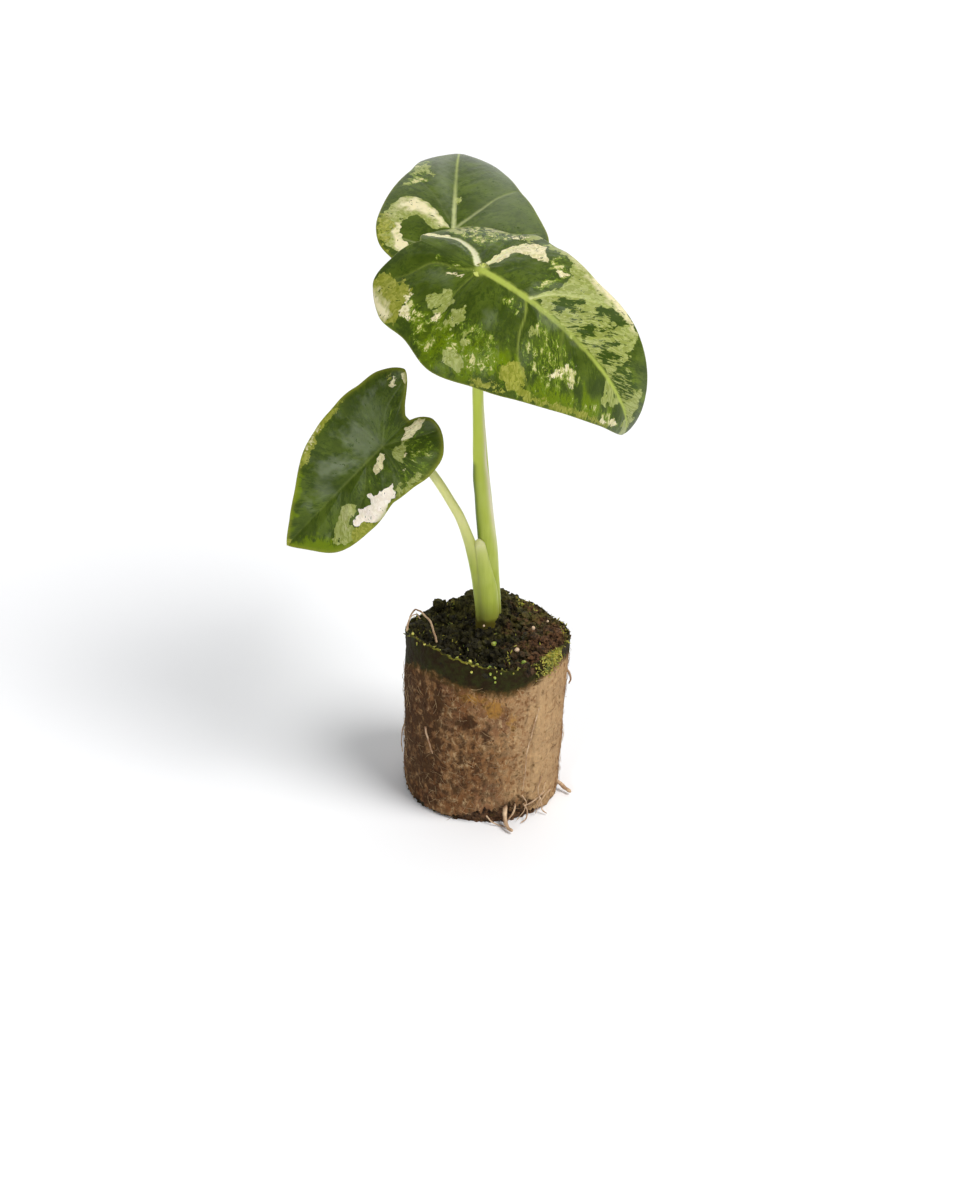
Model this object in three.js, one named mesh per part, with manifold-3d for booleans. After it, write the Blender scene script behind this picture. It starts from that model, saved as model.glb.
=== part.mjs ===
// A young variegated alocasia "frydek" in a paper-wrapped peat plug.
// Millimetres, +Z up, origin at the middle of the plug's foot. The plant faces -Y.
import * as THREE from 'three';
import Module from 'manifold-3d';

const wasm = await Module();
wasm.setup();

// Driving dimensions
const GAP = 0.3; // clearance between pieces that touch
const PLUG = { topRadius: 17.5, footRadius: 16.75, height: 37 };
const SLEEVE = { wall: 0.8, dent: 0.22, lapThickness: 0.5, lapStart: -51, lapEnd: -18 };
const SOIL = { rimDrop: 0.9, crumb: 0.55, backHeap: 2.0, sideHeap: 1.5, frontDip: 0.9 };
const STEM_HOLE = { x: 0.2, y: 2.55, radius: 3.75 };
const CORM = { radius: 3.5, top: 33.0, bottom: 24.5 };
const STEM_FOOT = CORM.top + GAP;
const BLADE = { thickness: 0.7, keel: 0.55, keelWidth: 1.0 };
const QUILT = { height: 0.5, shoulder: 1.8 }; // how far the blade swells between its sunk veins

// The blade's margin is given as its reach from the petiole joint, at these angles from the tip.
const MARGIN_ANGLES = [0, 8, 20, 38, 60, 85, 110, 132, 150, 164, 173, 180];

// One entry a leaf. heading, rise and bank turn the blade at the joint, in degrees. The midrib
// bends down by droop (and droopGrowth * y) radians a millimetre, and the lobes behind the joint
// by lobeDroop. Each half leaves the midrib at the angle lift, which changes by liftGrowth towards
// the tip, and curls by curl (and curlGrowth) radians a millimetre. Veins are in leaf coordinates:
// x to the right of the midrib, y from the joint towards the tip.
const LEAVES = {
  front: {
    joint: [-4.9, -3.0, 119.9], heading: -36.5, rise: -9.1, bank: -29.0,
    droop: 0.02404, droopGrowth: 0.00024, lobeDroop: 0.011, sweep: -0.001,
    right: {
      lift: -0.223, liftGrowth: -0.081, curl: -0.0148, curlGrowth: -0.0007,
      reach: [54.7, 44.0, 35.3, 28.2, 23.9, 22.3, 20.6, 23.2, 24.1, 20.5, 18.3, 16.1],
    },
    left: {
      lift: -0.327, liftGrowth: 0.513, curl: -0.0152, curlGrowth: -0.0078,
      reach: [54.7, 44.8, 34.8, 24.0, 19.7, 19.4, 21.2, 24.0, 21.5, 18.6, 18.0, 16.1],
    },
    wave: { height: 0.45, count: 9, phase: 0.6 },
    veins: [
      [[0, 0], [5.5, -1.6], [11.8, -2.2], [18.6, -1.1]],
      [[0, 11], [2.5, 13], [7, 15], [11, 18.8], [13.9, 26.3]],
      [[0, 20.4], [3.6, 23.1], [6.9, 28.4], [8.2, 35.3]],
      [[0, 33.5], [2.6, 38], [3.4, 43]],
      [[0, 0], [-6.8, 0.1], [-12.2, 0.1], [-17, 3]],
      [[0, 11.5], [-4.3, 14.4], [-8.6, 19.9], [-11, 25]],
      [[0, 23.8], [-5.1, 28], [-10, 32.7]],
      [[0, 0], [1.9, -4.1], [3.1, -10], [7.5, -14], [10.5, -18.5]],
      [[0, 0], [-3.1, -4.4], [-5.4, -9.1], [-9, -16]],
    ],
  },
  back: {
    joint: [-10.9, 17.0, 116.3], heading: 91.5, rise: 27.5, bank: 0.8,
    droop: 0.0118, droopGrowth: 0.00019, lobeDroop: 0.0097, sweep: 0.0009,
    right: {
      lift: 0.032, liftGrowth: -0.342, curl: -0.0050, curlGrowth: -0.0004,
      reach: [46.1, 40.2, 31.2, 23.4, 20.5, 19.5, 18.6, 18.6, 19.0, 17.0, 13.5, 10.8],
    },
    left: {
      lift: 0.056, liftGrowth: -0.266, curl: -0.0088, curlGrowth: -0.0003,
      reach: [46.1, 42.3, 29.3, 22.2, 18.0, 15.3, 12.8, 16.5, 18.5, 17.0, 13.5, 10.8],
    },
    wave: { height: 0.5, count: 8, phase: 2.1 },
    veins: [
      [[0, 5], [6.3, 13.3], [10, 19], [13, 24]],
      [[0, 18], [5, 26], [7.5, 33]],
      [[0, 29], [3, 36], [4.2, 40.5]],
      [[0, 0], [8, 1], [17, 5]],
      [[0, 5], [-4.4, 15.9], [-8, 23]],
      [[0, 25], [-1.5, 35], [-2.2, 39]],
      [[0, 0], [-7, 0.5], [-13, 3]],
      [[0, 0], [3.2, -5], [6.5, -11], [8.5, -15]],
      [[0, 0], [-3.2, -5], [-6.5, -11], [-8.5, -15]],
    ],
  },
  left: {
    joint: [-23.1, -6.0, 81.9], heading: -171.9, rise: -48.4, bank: 54.2,
    droop: 0.0042, droopGrowth: 0, lobeDroop: 0.0061, sweep: 0.0001,
    right: {
      lift: 0.179, liftGrowth: 0.065, curl: -0.0035, curlGrowth: 0.0001,
      reach: [29.7, 24.9, 20.3, 16.9, 14.0, 12.8, 13.1, 15.3, 16.4, 9.7, 8.0, 7.9],
    },
    left: {
      lift: 0.062, liftGrowth: -0.164, curl: -0.0146, curlGrowth: -0.0001,
      reach: [29.7, 27.1, 24.2, 16.9, 11.3, 10.5, 11.8, 13.2, 13.0, 12.2, 10.3, 7.9],
    },
    wave: { height: 0.35, count: 7, phase: 1.2 },
    veins: [
      [[0, 0], [5, 0.2], [9.5, 1]],
      [[0, 3], [3.2, 7.8], [6.1, 9.9], [9, 12]],
      [[0, 12.7], [2.4, 15.3], [5.8, 18.8]],
      [[0, 4.5], [-3.8, 8.7], [-5.8, 12.4]],
      [[0, 12], [-3.5, 16.5], [-5, 20]],
      [[0, 0], [-5, 0.6], [-9, 2.4]],
      [[0, 0], [2.3, -2.9], [4.8, -6], [6.4, -12]],
      [[0, 0], [-2.1, -4.3], [-3.8, -7.2], [-5.5, -10.5]],
    ],
  },
};

// Petioles: stations up each stalk, as [x, y, z, half width, half depth].
const PETIOLES = {
  front: [
    [0.65, 3.1, 30, 2.3, 1.9], [0.5, 3.0, 38, 2.25, 1.85], [-0.05, 2.5, 47.6, 2.05, 1.75],
    [-1.3, 1.8, 59.3, 1.9, 1.6], [-2.2, 1.3, 66.5, 1.78, 1.5], [-2.9, 0.9, 72.1, 1.68, 1.4],
    [-3.4, 0.6, 76.5, 1.42, 1.3], [-3.75, 0.2, 82.7, 1.3, 1.25], [-4.4, -0.7, 91.7, 1.12, 1.12],
    [-4.8, -1.8, 104, 1.08, 1.08], [-4.9, -2.9, 118.4, 1.15, 1.15], [-4.9, -3.1, 121, 1.2, 1.2],
  ],
  back: [
    [0.7, 4.2, 30, 1.75, 1.4], [0.6, 4.2, 41, 1.7, 1.35], [-0.1, 4.2, 53, 1.5, 1.25],
    [-1.1, 4.2, 61, 1.35, 1.15], [-2.4, 4.5, 70, 1.3, 1.1], [-3.1, 5.0, 76.8, 1.15, 1.1],
    [-3.8, 5.8, 83.3, 1.05, 1.05], [-4.5, 7.0, 89.5, 1.0, 1.0], [-6.3, 9.6, 99.3, 1.0, 1.0],
    [-8.4, 12.9, 107.5, 1.0, 1.0], [-10.4, 16.0, 114.6, 1.05, 1.05], [-11.1, 17.2, 117.5, 1.1, 1.1],
  ],
  left: [
    [-0.3, 1.5, 30, 2.35, 2.2], [-0.35, 1.5, 38.7, 2.3, 2.15], [-1.15, 1.4, 44.5, 2.1, 1.95],
    [-2.5, 1.2, 50.5, 1.75, 1.6], [-3.9, 0.9, 55.3, 1.4, 1.3], [-5.0, 0.6, 58.7, 1.15, 1.1],
    [-7.0, -0.3, 64.2, 1.02, 1.0], [-8.6, -0.8, 67.2, 0.98, 0.98], [-11.9, -1.7, 73, 0.95, 0.95],
    [-15.0, -2.6, 77.3, 0.95, 0.95], [-19.2, -3.7, 81, 1.0, 1.0], [-23.2, -5.9, 83.6, 1.0, 1.0],
  ],
};
// The left stalk's sheath: the wing that clasps the front stalk and ends in a free round tip.
const SHEATH_WING = [
  [-0.1, 1.6, 30, 2.5, 2.25], [-0.15, 1.5, 38.7, 2.45, 2.2], [-0.75, 1.25, 46, 2.35, 2.05],
  [-1.65, 1.05, 51.5, 1.9, 1.75], [-2.35, 0.8, 55.5, 1.3, 1.35], [-2.7, 0.65, 57.6, 0.75, 0.9],
  [-2.9, 0.6, 58.6, 0.3, 0.4],
];

// Roots from the corm: stations as [x, y, z], thinning from the corm outwards.
const ROOTS = [
  [[1.5, -1, 28], [5, -6, 21], [6, -12, 10], [5.5, -15.5, 3.2], [5.8, -18.6, 1.3], [7.2, -20.6, 0.8]],
  [[-1, 0, 27], [-6, -4, 20], [-9, -8, 11], [-8, -6, 4], [-4, -3, 2.5]],
  [[2.5, 3, 28], [8, 2, 22], [11, 1, 12], [13.8, -1, 4.5], [17.6, -2.6, 1.5], [19.6, -4.2, 0.8]],
  [[0, 5, 27], [1, 9, 19], [-2, 12, 11], [-5, 9, 4]],
  [[-2, 3, 28], [-8, 5, 23], [-12, 4, 15], [-12.5, -1, 8]],
  [[0.5, 2, 25.5], [1.5, 1, 15], [0, 3, 7], [3, 5, 2.6]],
];
const ROOT = { radius: 0.6, tip: 0.4, sides: 6, steps: 12 };

const rad = THREE.MathUtils.degToRad;
const lerp = THREE.MathUtils.lerp;

// A curve through (xs, ys) that never overshoots between its points.
function smoothThrough(xs, ys) {
  const last = xs.length - 1;
  const slopes = xs.slice(1).map((x, i) => (ys[i + 1] - ys[i]) / (x - xs[i]));
  const tangents = xs.map((_, i) => {
    if (i === 0 || i === last) return slopes[Math.min(i, last - 1)];
    const [a, b] = [slopes[i - 1], slopes[i]];
    return a * b <= 0 ? 0 : (2 * a * b) / (a + b);
  });
  return (x) => {
    let i = 0;
    while (i < last - 1 && x > xs[i + 1]) i += 1;
    const span = xs[i + 1] - xs[i];
    const t = (x - xs[i]) / span;
    const rise = ys[i + 1] - ys[i];
    const c = 3 * rise - span * (2 * tangents[i] + tangents[i + 1]);
    const d = span * (tangents[i] + tangents[i + 1]) - 2 * rise;
    return ys[i] + t * (span * tangents[i] + t * (c + t * d));
  };
}

// Joins points that lie together, drops faces that fall flat, and returns plain arrays.
function weld(points, faces) {
  const seen = new Map();
  const kept = [];
  const index = points.map((p) => {
    const key = p.toArray().map((v) => Math.round(v * 2000)).join();
    if (!seen.has(key)) {
      seen.set(key, kept.length);
      kept.push(p);
    }
    return seen.get(key);
  });
  const corners = faces.map((face) => face.map((i) => index[i]));
  const sound = corners.filter(([a, b, c]) => a !== b && b !== c && c !== a);
  return { kept, sound };
}

function solid(points, faces) {
  const { kept, sound } = weld(points, faces);
  return new wasm.Manifold(new wasm.Mesh({
    numProp: 3,
    vertProperties: new Float32Array(kept.flatMap((p) => p.toArray())),
    triVerts: new Uint32Array(sound.flat()),
  }));
}

function geometryOf(manifold) {
  const mesh = manifold.getMesh();
  const geometry = new THREE.BufferGeometry();
  geometry.setAttribute('position', new THREE.BufferAttribute(mesh.vertProperties, 3));
  geometry.setIndex(new THREE.BufferAttribute(mesh.triVerts, 1));
  geometry.computeVertexNormals();
  return geometry;
}

// Rings of equal length, one after the other, skinned and capped into a closed solid.
function skinRings(rings) {
  const sides = rings[0].length;
  const points = rings.flat();
  const faces = [];
  for (let r = 0; r < rings.length - 1; r += 1) {
    for (let s = 0; s < sides; s += 1) {
      const a = r * sides + s;
      const b = r * sides + ((s + 1) % sides);
      faces.push([a, b, b + sides], [a, b + sides, a + sides]);
    }
  }
  const addCap = (start, turned) => {
    const centre = new THREE.Vector3();
    for (let s = 0; s < sides; s += 1) centre.addScaledVector(points[start + s], 1 / sides);
    points.push(centre);
    for (let s = 0; s < sides; s += 1) {
      const edge = [start + s, start + ((s + 1) % sides)];
      faces.push(turned ? [edge[1], edge[0], points.length - 1] : [...edge, points.length - 1]);
    }
  };
  addCap(0, true);
  addCap((rings.length - 1) * sides, false);
  return solid(points, faces);
}

// A stalk or root along its stations [x, y, z, half width, half depth], grown by grow all round.
function stalk(stations, { sides, steps, grow = 0 }) {
  const path = new THREE.CatmullRomCurve3(stations.map((s) => new THREE.Vector3(...s)), false, 'centripetal');
  const places = stations.map((_, i) => i);
  const width = smoothThrough(places, stations.map((s) => s[3]));
  const depth = smoothThrough(places, stations.map((s) => s[4]));
  const rings = [];
  for (let i = 0; i <= steps; i += 1) {
    const t = i / steps;
    const centre = path.getPoint(t);
    const ahead = path.getTangent(t);
    const across = new THREE.Vector3(0, 1, 0).cross(ahead).normalize();
    const back = ahead.clone().cross(across);
    const place = t * (stations.length - 1);
    const ring = [];
    for (let s = 0; s < sides; s += 1) {
      const angle = (2 * Math.PI * s) / sides;
      ring.push(centre.clone()
        .addScaledVector(across, (width(place) + grow) * Math.cos(angle))
        .addScaledVector(back, (depth(place) + grow) * Math.sin(angle)));
    }
    rings.push(ring);
  }
  return skinRings(rings);
}

function cutBelow(manifold, z) {
  const below = new THREE.BoxGeometry(200, 200, 100).translate(0, 0, z - 50);
  return manifold.subtract(fromGeometry(below));
}

function fromGeometry(geometry) {
  const position = geometry.attributes.position;
  const points = [];
  for (let i = 0; i < position.count; i += 1) {
    points.push(new THREE.Vector3().fromBufferAttribute(position, i));
  }
  const faces = [];
  for (let i = 0; i < geometry.index.count; i += 3) {
    faces.push([geometry.index.getX(i), geometry.index.getX(i + 1), geometry.index.getX(i + 2)]);
  }
  return solid(points, faces);
}

// ---- Leaf blades ----

// The three directions of a blade at its joint: right, to the tip, and out of the upper face.
function bladeAxes({ heading, rise, bank }) {
  const tip = new THREE.Vector3(
    Math.cos(rad(rise)) * Math.cos(rad(heading)),
    Math.cos(rad(rise)) * Math.sin(rad(heading)),
    Math.sin(rad(rise)),
  );
  const level = new THREE.Vector3(Math.sin(rad(heading)), -Math.cos(rad(heading)), 0);
  const up = level.clone().cross(tip);
  const right = level.clone().multiplyScalar(Math.cos(rad(bank))).addScaledVector(up, Math.sin(rad(bank)));
  return { right, tip, face: right.clone().cross(tip) };
}

// The arc made by leaving at the angle start and turning by curl a millimetre, for length.
function arc(start, curl, length) {
  const steps = 16;
  const end = { along: 0, up: 0 };
  for (let i = 0; i < steps; i += 1) {
    const angle = start + (curl * length * (i + 0.5)) / steps;
    end.along += (Math.cos(angle) * length) / steps;
    end.up += (Math.sin(angle) * length) / steps;
  }
  return end;
}

function midribPoint(leaf, y) {
  const steps = 32;
  const bend = (s) => (s > 0 ? leaf.droop * s + leaf.droopGrowth * s * s : leaf.lobeDroop * s);
  const point = { along: 0, up: 0, angle: bend(y) };
  for (let i = 0; i < steps; i += 1) {
    const angle = bend((y * (i + 0.5)) / steps);
    point.along += (Math.cos(angle) * y) / steps;
    point.up -= (Math.sin(angle) * y) / steps;
  }
  return point;
}

// The bent blade's middle surface, without its relief.
function bentPoint(leaf, x, y) {
  const half = x >= 0 ? leaf.right : leaf.left;
  const unit = y / 45;
  const side = arc(half.lift + half.liftGrowth * unit, half.curl + half.curlGrowth * unit, Math.abs(x));
  const rib = midribPoint(leaf, y);
  const { right, tip, face } = leaf.axes;
  return new THREE.Vector3(...leaf.joint)
    .addScaledVector(right, Math.sign(x) * side.along + (leaf.sweep * y * y) / 2)
    .addScaledVector(tip, rib.along + side.up * Math.sin(rib.angle))
    .addScaledVector(face, rib.up + side.up * Math.cos(rib.angle));
}

function bentNormal(leaf, x, y) {
  const h = 0.4;
  const across = bentPoint(leaf, x + h, y).sub(bentPoint(leaf, x - h, y));
  const along = bentPoint(leaf, x, y + h).sub(bentPoint(leaf, x, y - h));
  return across.cross(along).normalize();
}

function distanceToVein([x, y], vein) {
  let nearest = Infinity;
  for (let i = 0; i < vein.length - 1; i += 1) {
    const [ax, ay] = vein[i];
    const [dx, dy] = [vein[i + 1][0] - ax, vein[i + 1][1] - ay];
    const t = THREE.MathUtils.clamp(((x - ax) * dx + (y - ay) * dy) / (dx * dx + dy * dy), 0, 1);
    nearest = Math.min(nearest, Math.hypot(x - ax - t * dx, y - ay - t * dy));
  }
  return nearest;
}

// How far the blade stands off its bent surface: swollen between the veins, waved at the margin.
function relief(leaf, x, y) {
  const midrib = [[0, -leaf.right.reach.at(-1)], [0, leaf.right.reach[0]]];
  const nearest = Math.min(...[midrib, ...leaf.veins].map((vein) => distanceToVein([x, y], vein)));
  const swell = QUILT.height * (1 - Math.exp(-((nearest / QUILT.shoulder) ** 2)));
  const angle = Math.atan2(Math.abs(x), y);
  const reach = (x >= 0 ? leaf.right : leaf.left).margin(THREE.MathUtils.radToDeg(angle));
  const outward = Math.min(Math.hypot(x, y) / reach, 1);
  const { height, count, phase } = leaf.wave;
  const wave = height * outward ** 4 * Math.sin(angle) * Math.sin(count * angle + phase * Math.sign(x));
  return swell * (1 - outward ** 6) + wave;
}

// A half blade is a patch of columns from the midrib to the margin. Feet gives each column's start.
const FOOT_ANGLES = [0, 20, 38, 60, 100, 150, 180];
const FOOT_SHARES = [1, 0.47, 0.2, 0.03, -0.1, -0.62, -1];
const COLUMNS = 22;
const ROWS = [0, 0.07, 0.26, 0.48, 0.68, 0.86, 1];

function bladeSolid(leaf, { grow = 0 } = {}) {
  const tipReach = leaf.right.reach[0];
  const sinusReach = leaf.right.reach.at(-1);
  const foot = smoothThrough(FOOT_ANGLES, FOOT_SHARES);
  const points = [];
  const faces = [];
  for (const side of [1, -1]) {
    const half = side > 0 ? leaf.right : leaf.left;
    const start = points.length;
    for (let c = 0; c <= COLUMNS; c += 1) {
      const degrees = 180 * (c / COLUMNS) ** 1.5;
      const reach = half.margin(degrees);
      const share = foot(degrees);
      const footY = share * (share > 0 ? tipReach : sinusReach);
      const marginX = c === COLUMNS ? 0 : side * reach * Math.sin(rad(degrees));
      const marginY = reach * Math.cos(rad(degrees));
      for (const row of ROWS) {
        const x = marginX * row;
        const y = lerp(footY, marginY, row);
        const normal = bentNormal(leaf, x, y);
        const middle = bentPoint(leaf, x, y).addScaledVector(normal, relief(leaf, x, y));
        const taper = THREE.MathUtils.clamp((tipReach - y) / tipReach, 0, 1);
        const keel = BLADE.keel * Math.exp(-((x / BLADE.keelWidth) ** 2)) * taper;
        points.push(middle.clone().addScaledVector(normal, BLADE.thickness / 2 + grow));
        points.push(middle.clone().addScaledVector(normal, -BLADE.thickness / 2 - keel - grow));
      }
    }
    const at = (c, r, under) => start + 2 * (c * ROWS.length + r) + (under ? 1 : 0);
    const addFace = (a, b, d) => faces.push(side > 0 ? [a, d, b] : [a, b, d]);
    const edge = ROWS.length - 1;
    for (let c = 0; c < COLUMNS; c += 1) {
      for (let r = 0; r < edge; r += 1) {
        addFace(at(c, r), at(c, r + 1), at(c + 1, r + 1));
        addFace(at(c, r), at(c + 1, r + 1), at(c + 1, r));
        addFace(at(c, r, true), at(c + 1, r + 1, true), at(c, r + 1, true));
        addFace(at(c, r, true), at(c + 1, r, true), at(c + 1, r + 1, true));
      }
      addFace(at(c, edge), at(c, edge, true), at(c + 1, edge, true));
      addFace(at(c, edge), at(c + 1, edge, true), at(c + 1, edge));
    }
  }
  return solid(points, faces);
}

for (const leaf of Object.values(LEAVES)) {
  leaf.axes = bladeAxes(leaf);
  leaf.right.margin = smoothThrough(MARGIN_ANGLES, leaf.right.reach);
  leaf.left.margin = smoothThrough(MARGIN_ANGLES, leaf.left.reach);
}

// ---- Petioles: each is cut clear of the blade that it carries and of the stalk that it clasps ----

const STALK = { sides: 14, steps: 26 };
const frontBlade = bladeSolid(LEAVES.front);
const backBlade = bladeSolid(LEAVES.back);
const leftBlade = bladeSolid(LEAVES.left);

function petiole(stations, leaf) {
  return cutBelow(stalk(stations, STALK), STEM_FOOT).subtract(bladeSolid(leaf, { grow: GAP }));
}

// The largest body of a solid: cutting a stalk's end with its blade can leave a chip above it.
function largestBody(manifold) {
  const bodies = manifold.decompose();
  return bodies.reduce((best, body) => (body.volume() > best.volume() ? body : best));
}

const backStalk = largestBody(petiole(PETIOLES.back, LEAVES.back));
const backSpace = stalk(PETIOLES.back, { ...STALK, grow: GAP });
const frontStalk = largestBody(petiole(PETIOLES.front, LEAVES.front).subtract(backSpace));
const frontSpace = stalk(PETIOLES.front, { ...STALK, grow: GAP });
const sheathWing = cutBelow(stalk(SHEATH_WING, { sides: 14, steps: 14 }), STEM_FOOT);
const leftStalk = largestBody(
  petiole(PETIOLES.left, LEAVES.left).add(sheathWing).subtract(frontSpace).subtract(backSpace),
);

// ---- Corm and roots ----

function cormSolid(grow) {
  const middle = (CORM.top + CORM.bottom) / 2;
  const halfHeight = (CORM.top - CORM.bottom) / 2 + 0.9;
  const ball = new THREE.SphereGeometry(1, 20, 14);
  ball.rotateX(Math.PI / 2);
  ball.scale(CORM.radius + grow, CORM.radius + grow, halfHeight + grow);
  ball.translate(STEM_HOLE.x, STEM_HOLE.y, middle);
  const topCut = new THREE.BoxGeometry(20, 20, 20).translate(0, 0, CORM.top + grow + 10);
  return fromGeometry(ball).subtract(fromGeometry(topCut));
}

function rootSolids(grow) {
  return ROOTS.map((stations) => {
    const last = stations.length - 1;
    const sized = stations.map((place, i) => {
      const radius = lerp(ROOT.radius, ROOT.tip, i / last);
      return [...place, radius, radius];
    });
    return stalk(sized, { sides: ROOT.sides, steps: ROOT.steps, grow });
  });
}

const corm = rootSolids(0).reduce((whole, root) => whole.add(root), cormSolid(0));
const rootSpace = rootSolids(GAP);

// ---- Sleeve: a paper tube, with its lap seam at the front right ----

const AROUND = 60;
const UP = 8;

function sleeveRadius(angle, z) {
  const plain = lerp(PLUG.footRadius, PLUG.topRadius, z / PLUG.height);
  const dents = Math.sin(3 * angle + z / 9) + 0.7 * Math.sin(5 * angle - z / 6 + 1.3);
  return plain + (SLEEVE.dent * dents) / 1.7 - SLEEVE.dent;
}

function lapStep(angle) {
  const degrees = THREE.MathUtils.radToDeg(angle);
  const turned = degrees > 180 ? degrees - 360 : degrees;
  const share = (turned - SLEEVE.lapStart) / (SLEEVE.lapEnd - SLEEVE.lapStart);
  return share < 0 || share > 1 ? 0 : SLEEVE.lapThickness * (1 - 0.6 * share);
}

function rimHeight(angle) {
  return PLUG.height + 0.35 * Math.sin(2 * angle + 0.7) + 0.2 * Math.sin(7 * angle);
}

function sleeveSolid() {
  const points = [];
  const faces = [];
  for (let u = 0; u <= UP; u += 1) {
    for (let a = 0; a < AROUND; a += 1) {
      const angle = (2 * Math.PI * a) / AROUND;
      const z = (rimHeight(angle) * u) / UP;
      const outer = sleeveRadius(angle, z) + lapStep(angle);
      const inner = sleeveRadius(angle, z) - SLEEVE.wall;
      for (const radius of [outer, inner]) {
        points.push(new THREE.Vector3(radius * Math.cos(angle), radius * Math.sin(angle), z));
      }
    }
  }
  const at = (u, a, inside) => 2 * (u * AROUND + (a % AROUND)) + (inside ? 1 : 0);
  const addQuad = (a, b, c, d) => faces.push([a, b, c], [a, c, d]);
  for (let a = 0; a < AROUND; a += 1) {
    for (let u = 0; u < UP; u += 1) {
      addQuad(at(u, a), at(u, a + 1), at(u + 1, a + 1), at(u + 1, a));
      addQuad(at(u, a, true), at(u + 1, a, true), at(u + 1, a + 1, true), at(u, a + 1, true));
    }
    addQuad(at(UP, a), at(UP, a + 1), at(UP, a + 1, true), at(UP, a, true));
    addQuad(at(0, a + 1), at(0, a), at(0, a, true), at(0, a + 1, true));
  }
  return rootSpace.reduce((rest, space) => rest.subtract(space), solid(points, faces));
}

// ---- Soil: fills the sleeve, crumbly on top, with a plain hole for the stalks and corm ----

function soilHeight(x, y) {
  const crumbs = Math.sin(1.9 * x + 0.6 * y) * Math.cos(1.5 * y - 0.7 * x)
    + 0.6 * Math.sin(3.1 * x - 2.3 * y + 1);
  const heap = (cx, cy, spread) => Math.exp(-((x - cx) ** 2 + (y - cy) ** 2) / spread ** 2);
  return PLUG.height - SOIL.rimDrop + SOIL.crumb * crumbs + SOIL.backHeap * heap(0, 13.5, 6)
    + SOIL.sideHeap * heap(10, 6, 6) - SOIL.frontDip * heap(-3, -8, 7);
}

function soilSolid() {
  const rings = [1, 0.92, 0.82, 0.71, 0.6, 0.48, 0.36, 0.24, 0.12];
  const wallRadius = (angle, z) => sleeveRadius(angle, z) - SLEEVE.wall - GAP;
  const points = [];
  const faces = [];
  const addRing = (place) => {
    for (let a = 0; a < AROUND; a += 1) points.push(place((2 * Math.PI * a) / AROUND));
  };
  for (let u = 0; u < UP; u += 1) {
    addRing((angle) => {
      const z = (rimHeight(angle) * u) / UP;
      const radius = wallRadius(angle, z);
      return new THREE.Vector3(radius * Math.cos(angle), radius * Math.sin(angle), z);
    });
  }
  for (const share of rings) {
    addRing((angle) => {
      const radius = wallRadius(angle, PLUG.height) * share;
      const [x, y] = [radius * Math.cos(angle), radius * Math.sin(angle)];
      return new THREE.Vector3(x, y, soilHeight(x, y));
    });
  }
  const ringCount = UP + rings.length;
  for (let r = 0; r < ringCount - 1; r += 1) {
    for (let a = 0; a < AROUND; a += 1) {
      const [p, q] = [r * AROUND + a, r * AROUND + ((a + 1) % AROUND)];
      faces.push([p, q, q + AROUND], [p, q + AROUND, p + AROUND]);
    }
  }
  points.push(new THREE.Vector3(0, 0, soilHeight(0, 0)), new THREE.Vector3(0, 0, 0));
  const lastRing = (ringCount - 1) * AROUND;
  for (let a = 0; a < AROUND; a += 1) {
    const next = (a + 1) % AROUND;
    faces.push([lastRing + a, lastRing + next, points.length - 2], [next, a, points.length - 1]);
  }
  const hole = new THREE.CylinderGeometry(STEM_HOLE.radius, STEM_HOLE.radius, 10, 32);
  hole.rotateX(Math.PI / 2).translate(STEM_HOLE.x, STEM_HOLE.y, CORM.top + 5);
  const block = solid(points, faces).subtract(fromGeometry(hole)).subtract(cormSolid(GAP));
  return rootSpace.reduce((rest, space) => rest.subtract(space), block);
}

// ---- The plant ----

const LOOKS = {
  paper_sleeve: { solid: sleeveSolid(), color: '#8a6a48', roughness: 0.9 },
  soil_plug: { solid: soilSolid(), color: '#2e2a1b', roughness: 0.95 },
  corm_and_roots: { solid: corm, color: '#c9b48a', roughness: 0.7 },
  petiole_front: { solid: frontStalk, color: '#a9b84b', roughness: 0.4 },
  petiole_back: { solid: backStalk, color: '#b4c05c', roughness: 0.4 },
  petiole_left: { solid: leftStalk, color: '#b9c268', roughness: 0.4 },
  blade_front: { solid: frontBlade, color: '#55702b', roughness: 0.45 },
  blade_back: { solid: backBlade, color: '#5f6c3c', roughness: 0.45 },
  blade_left: { solid: leftBlade, color: '#4f6b28', roughness: 0.45 },
};

const plant = new THREE.Group();
for (const [name, look] of Object.entries(LOOKS)) {
  const material = new THREE.MeshStandardMaterial({
    color: look.color,
    roughness: look.roughness,
    metalness: 0,
  });
  const mesh = new THREE.Mesh(geometryOf(look.solid), material);
  mesh.name = name;
  plant.add(mesh);
}

export default plant;
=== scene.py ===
import math
import bpy
import numpy as np
from mathutils import Matrix, Vector


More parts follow.
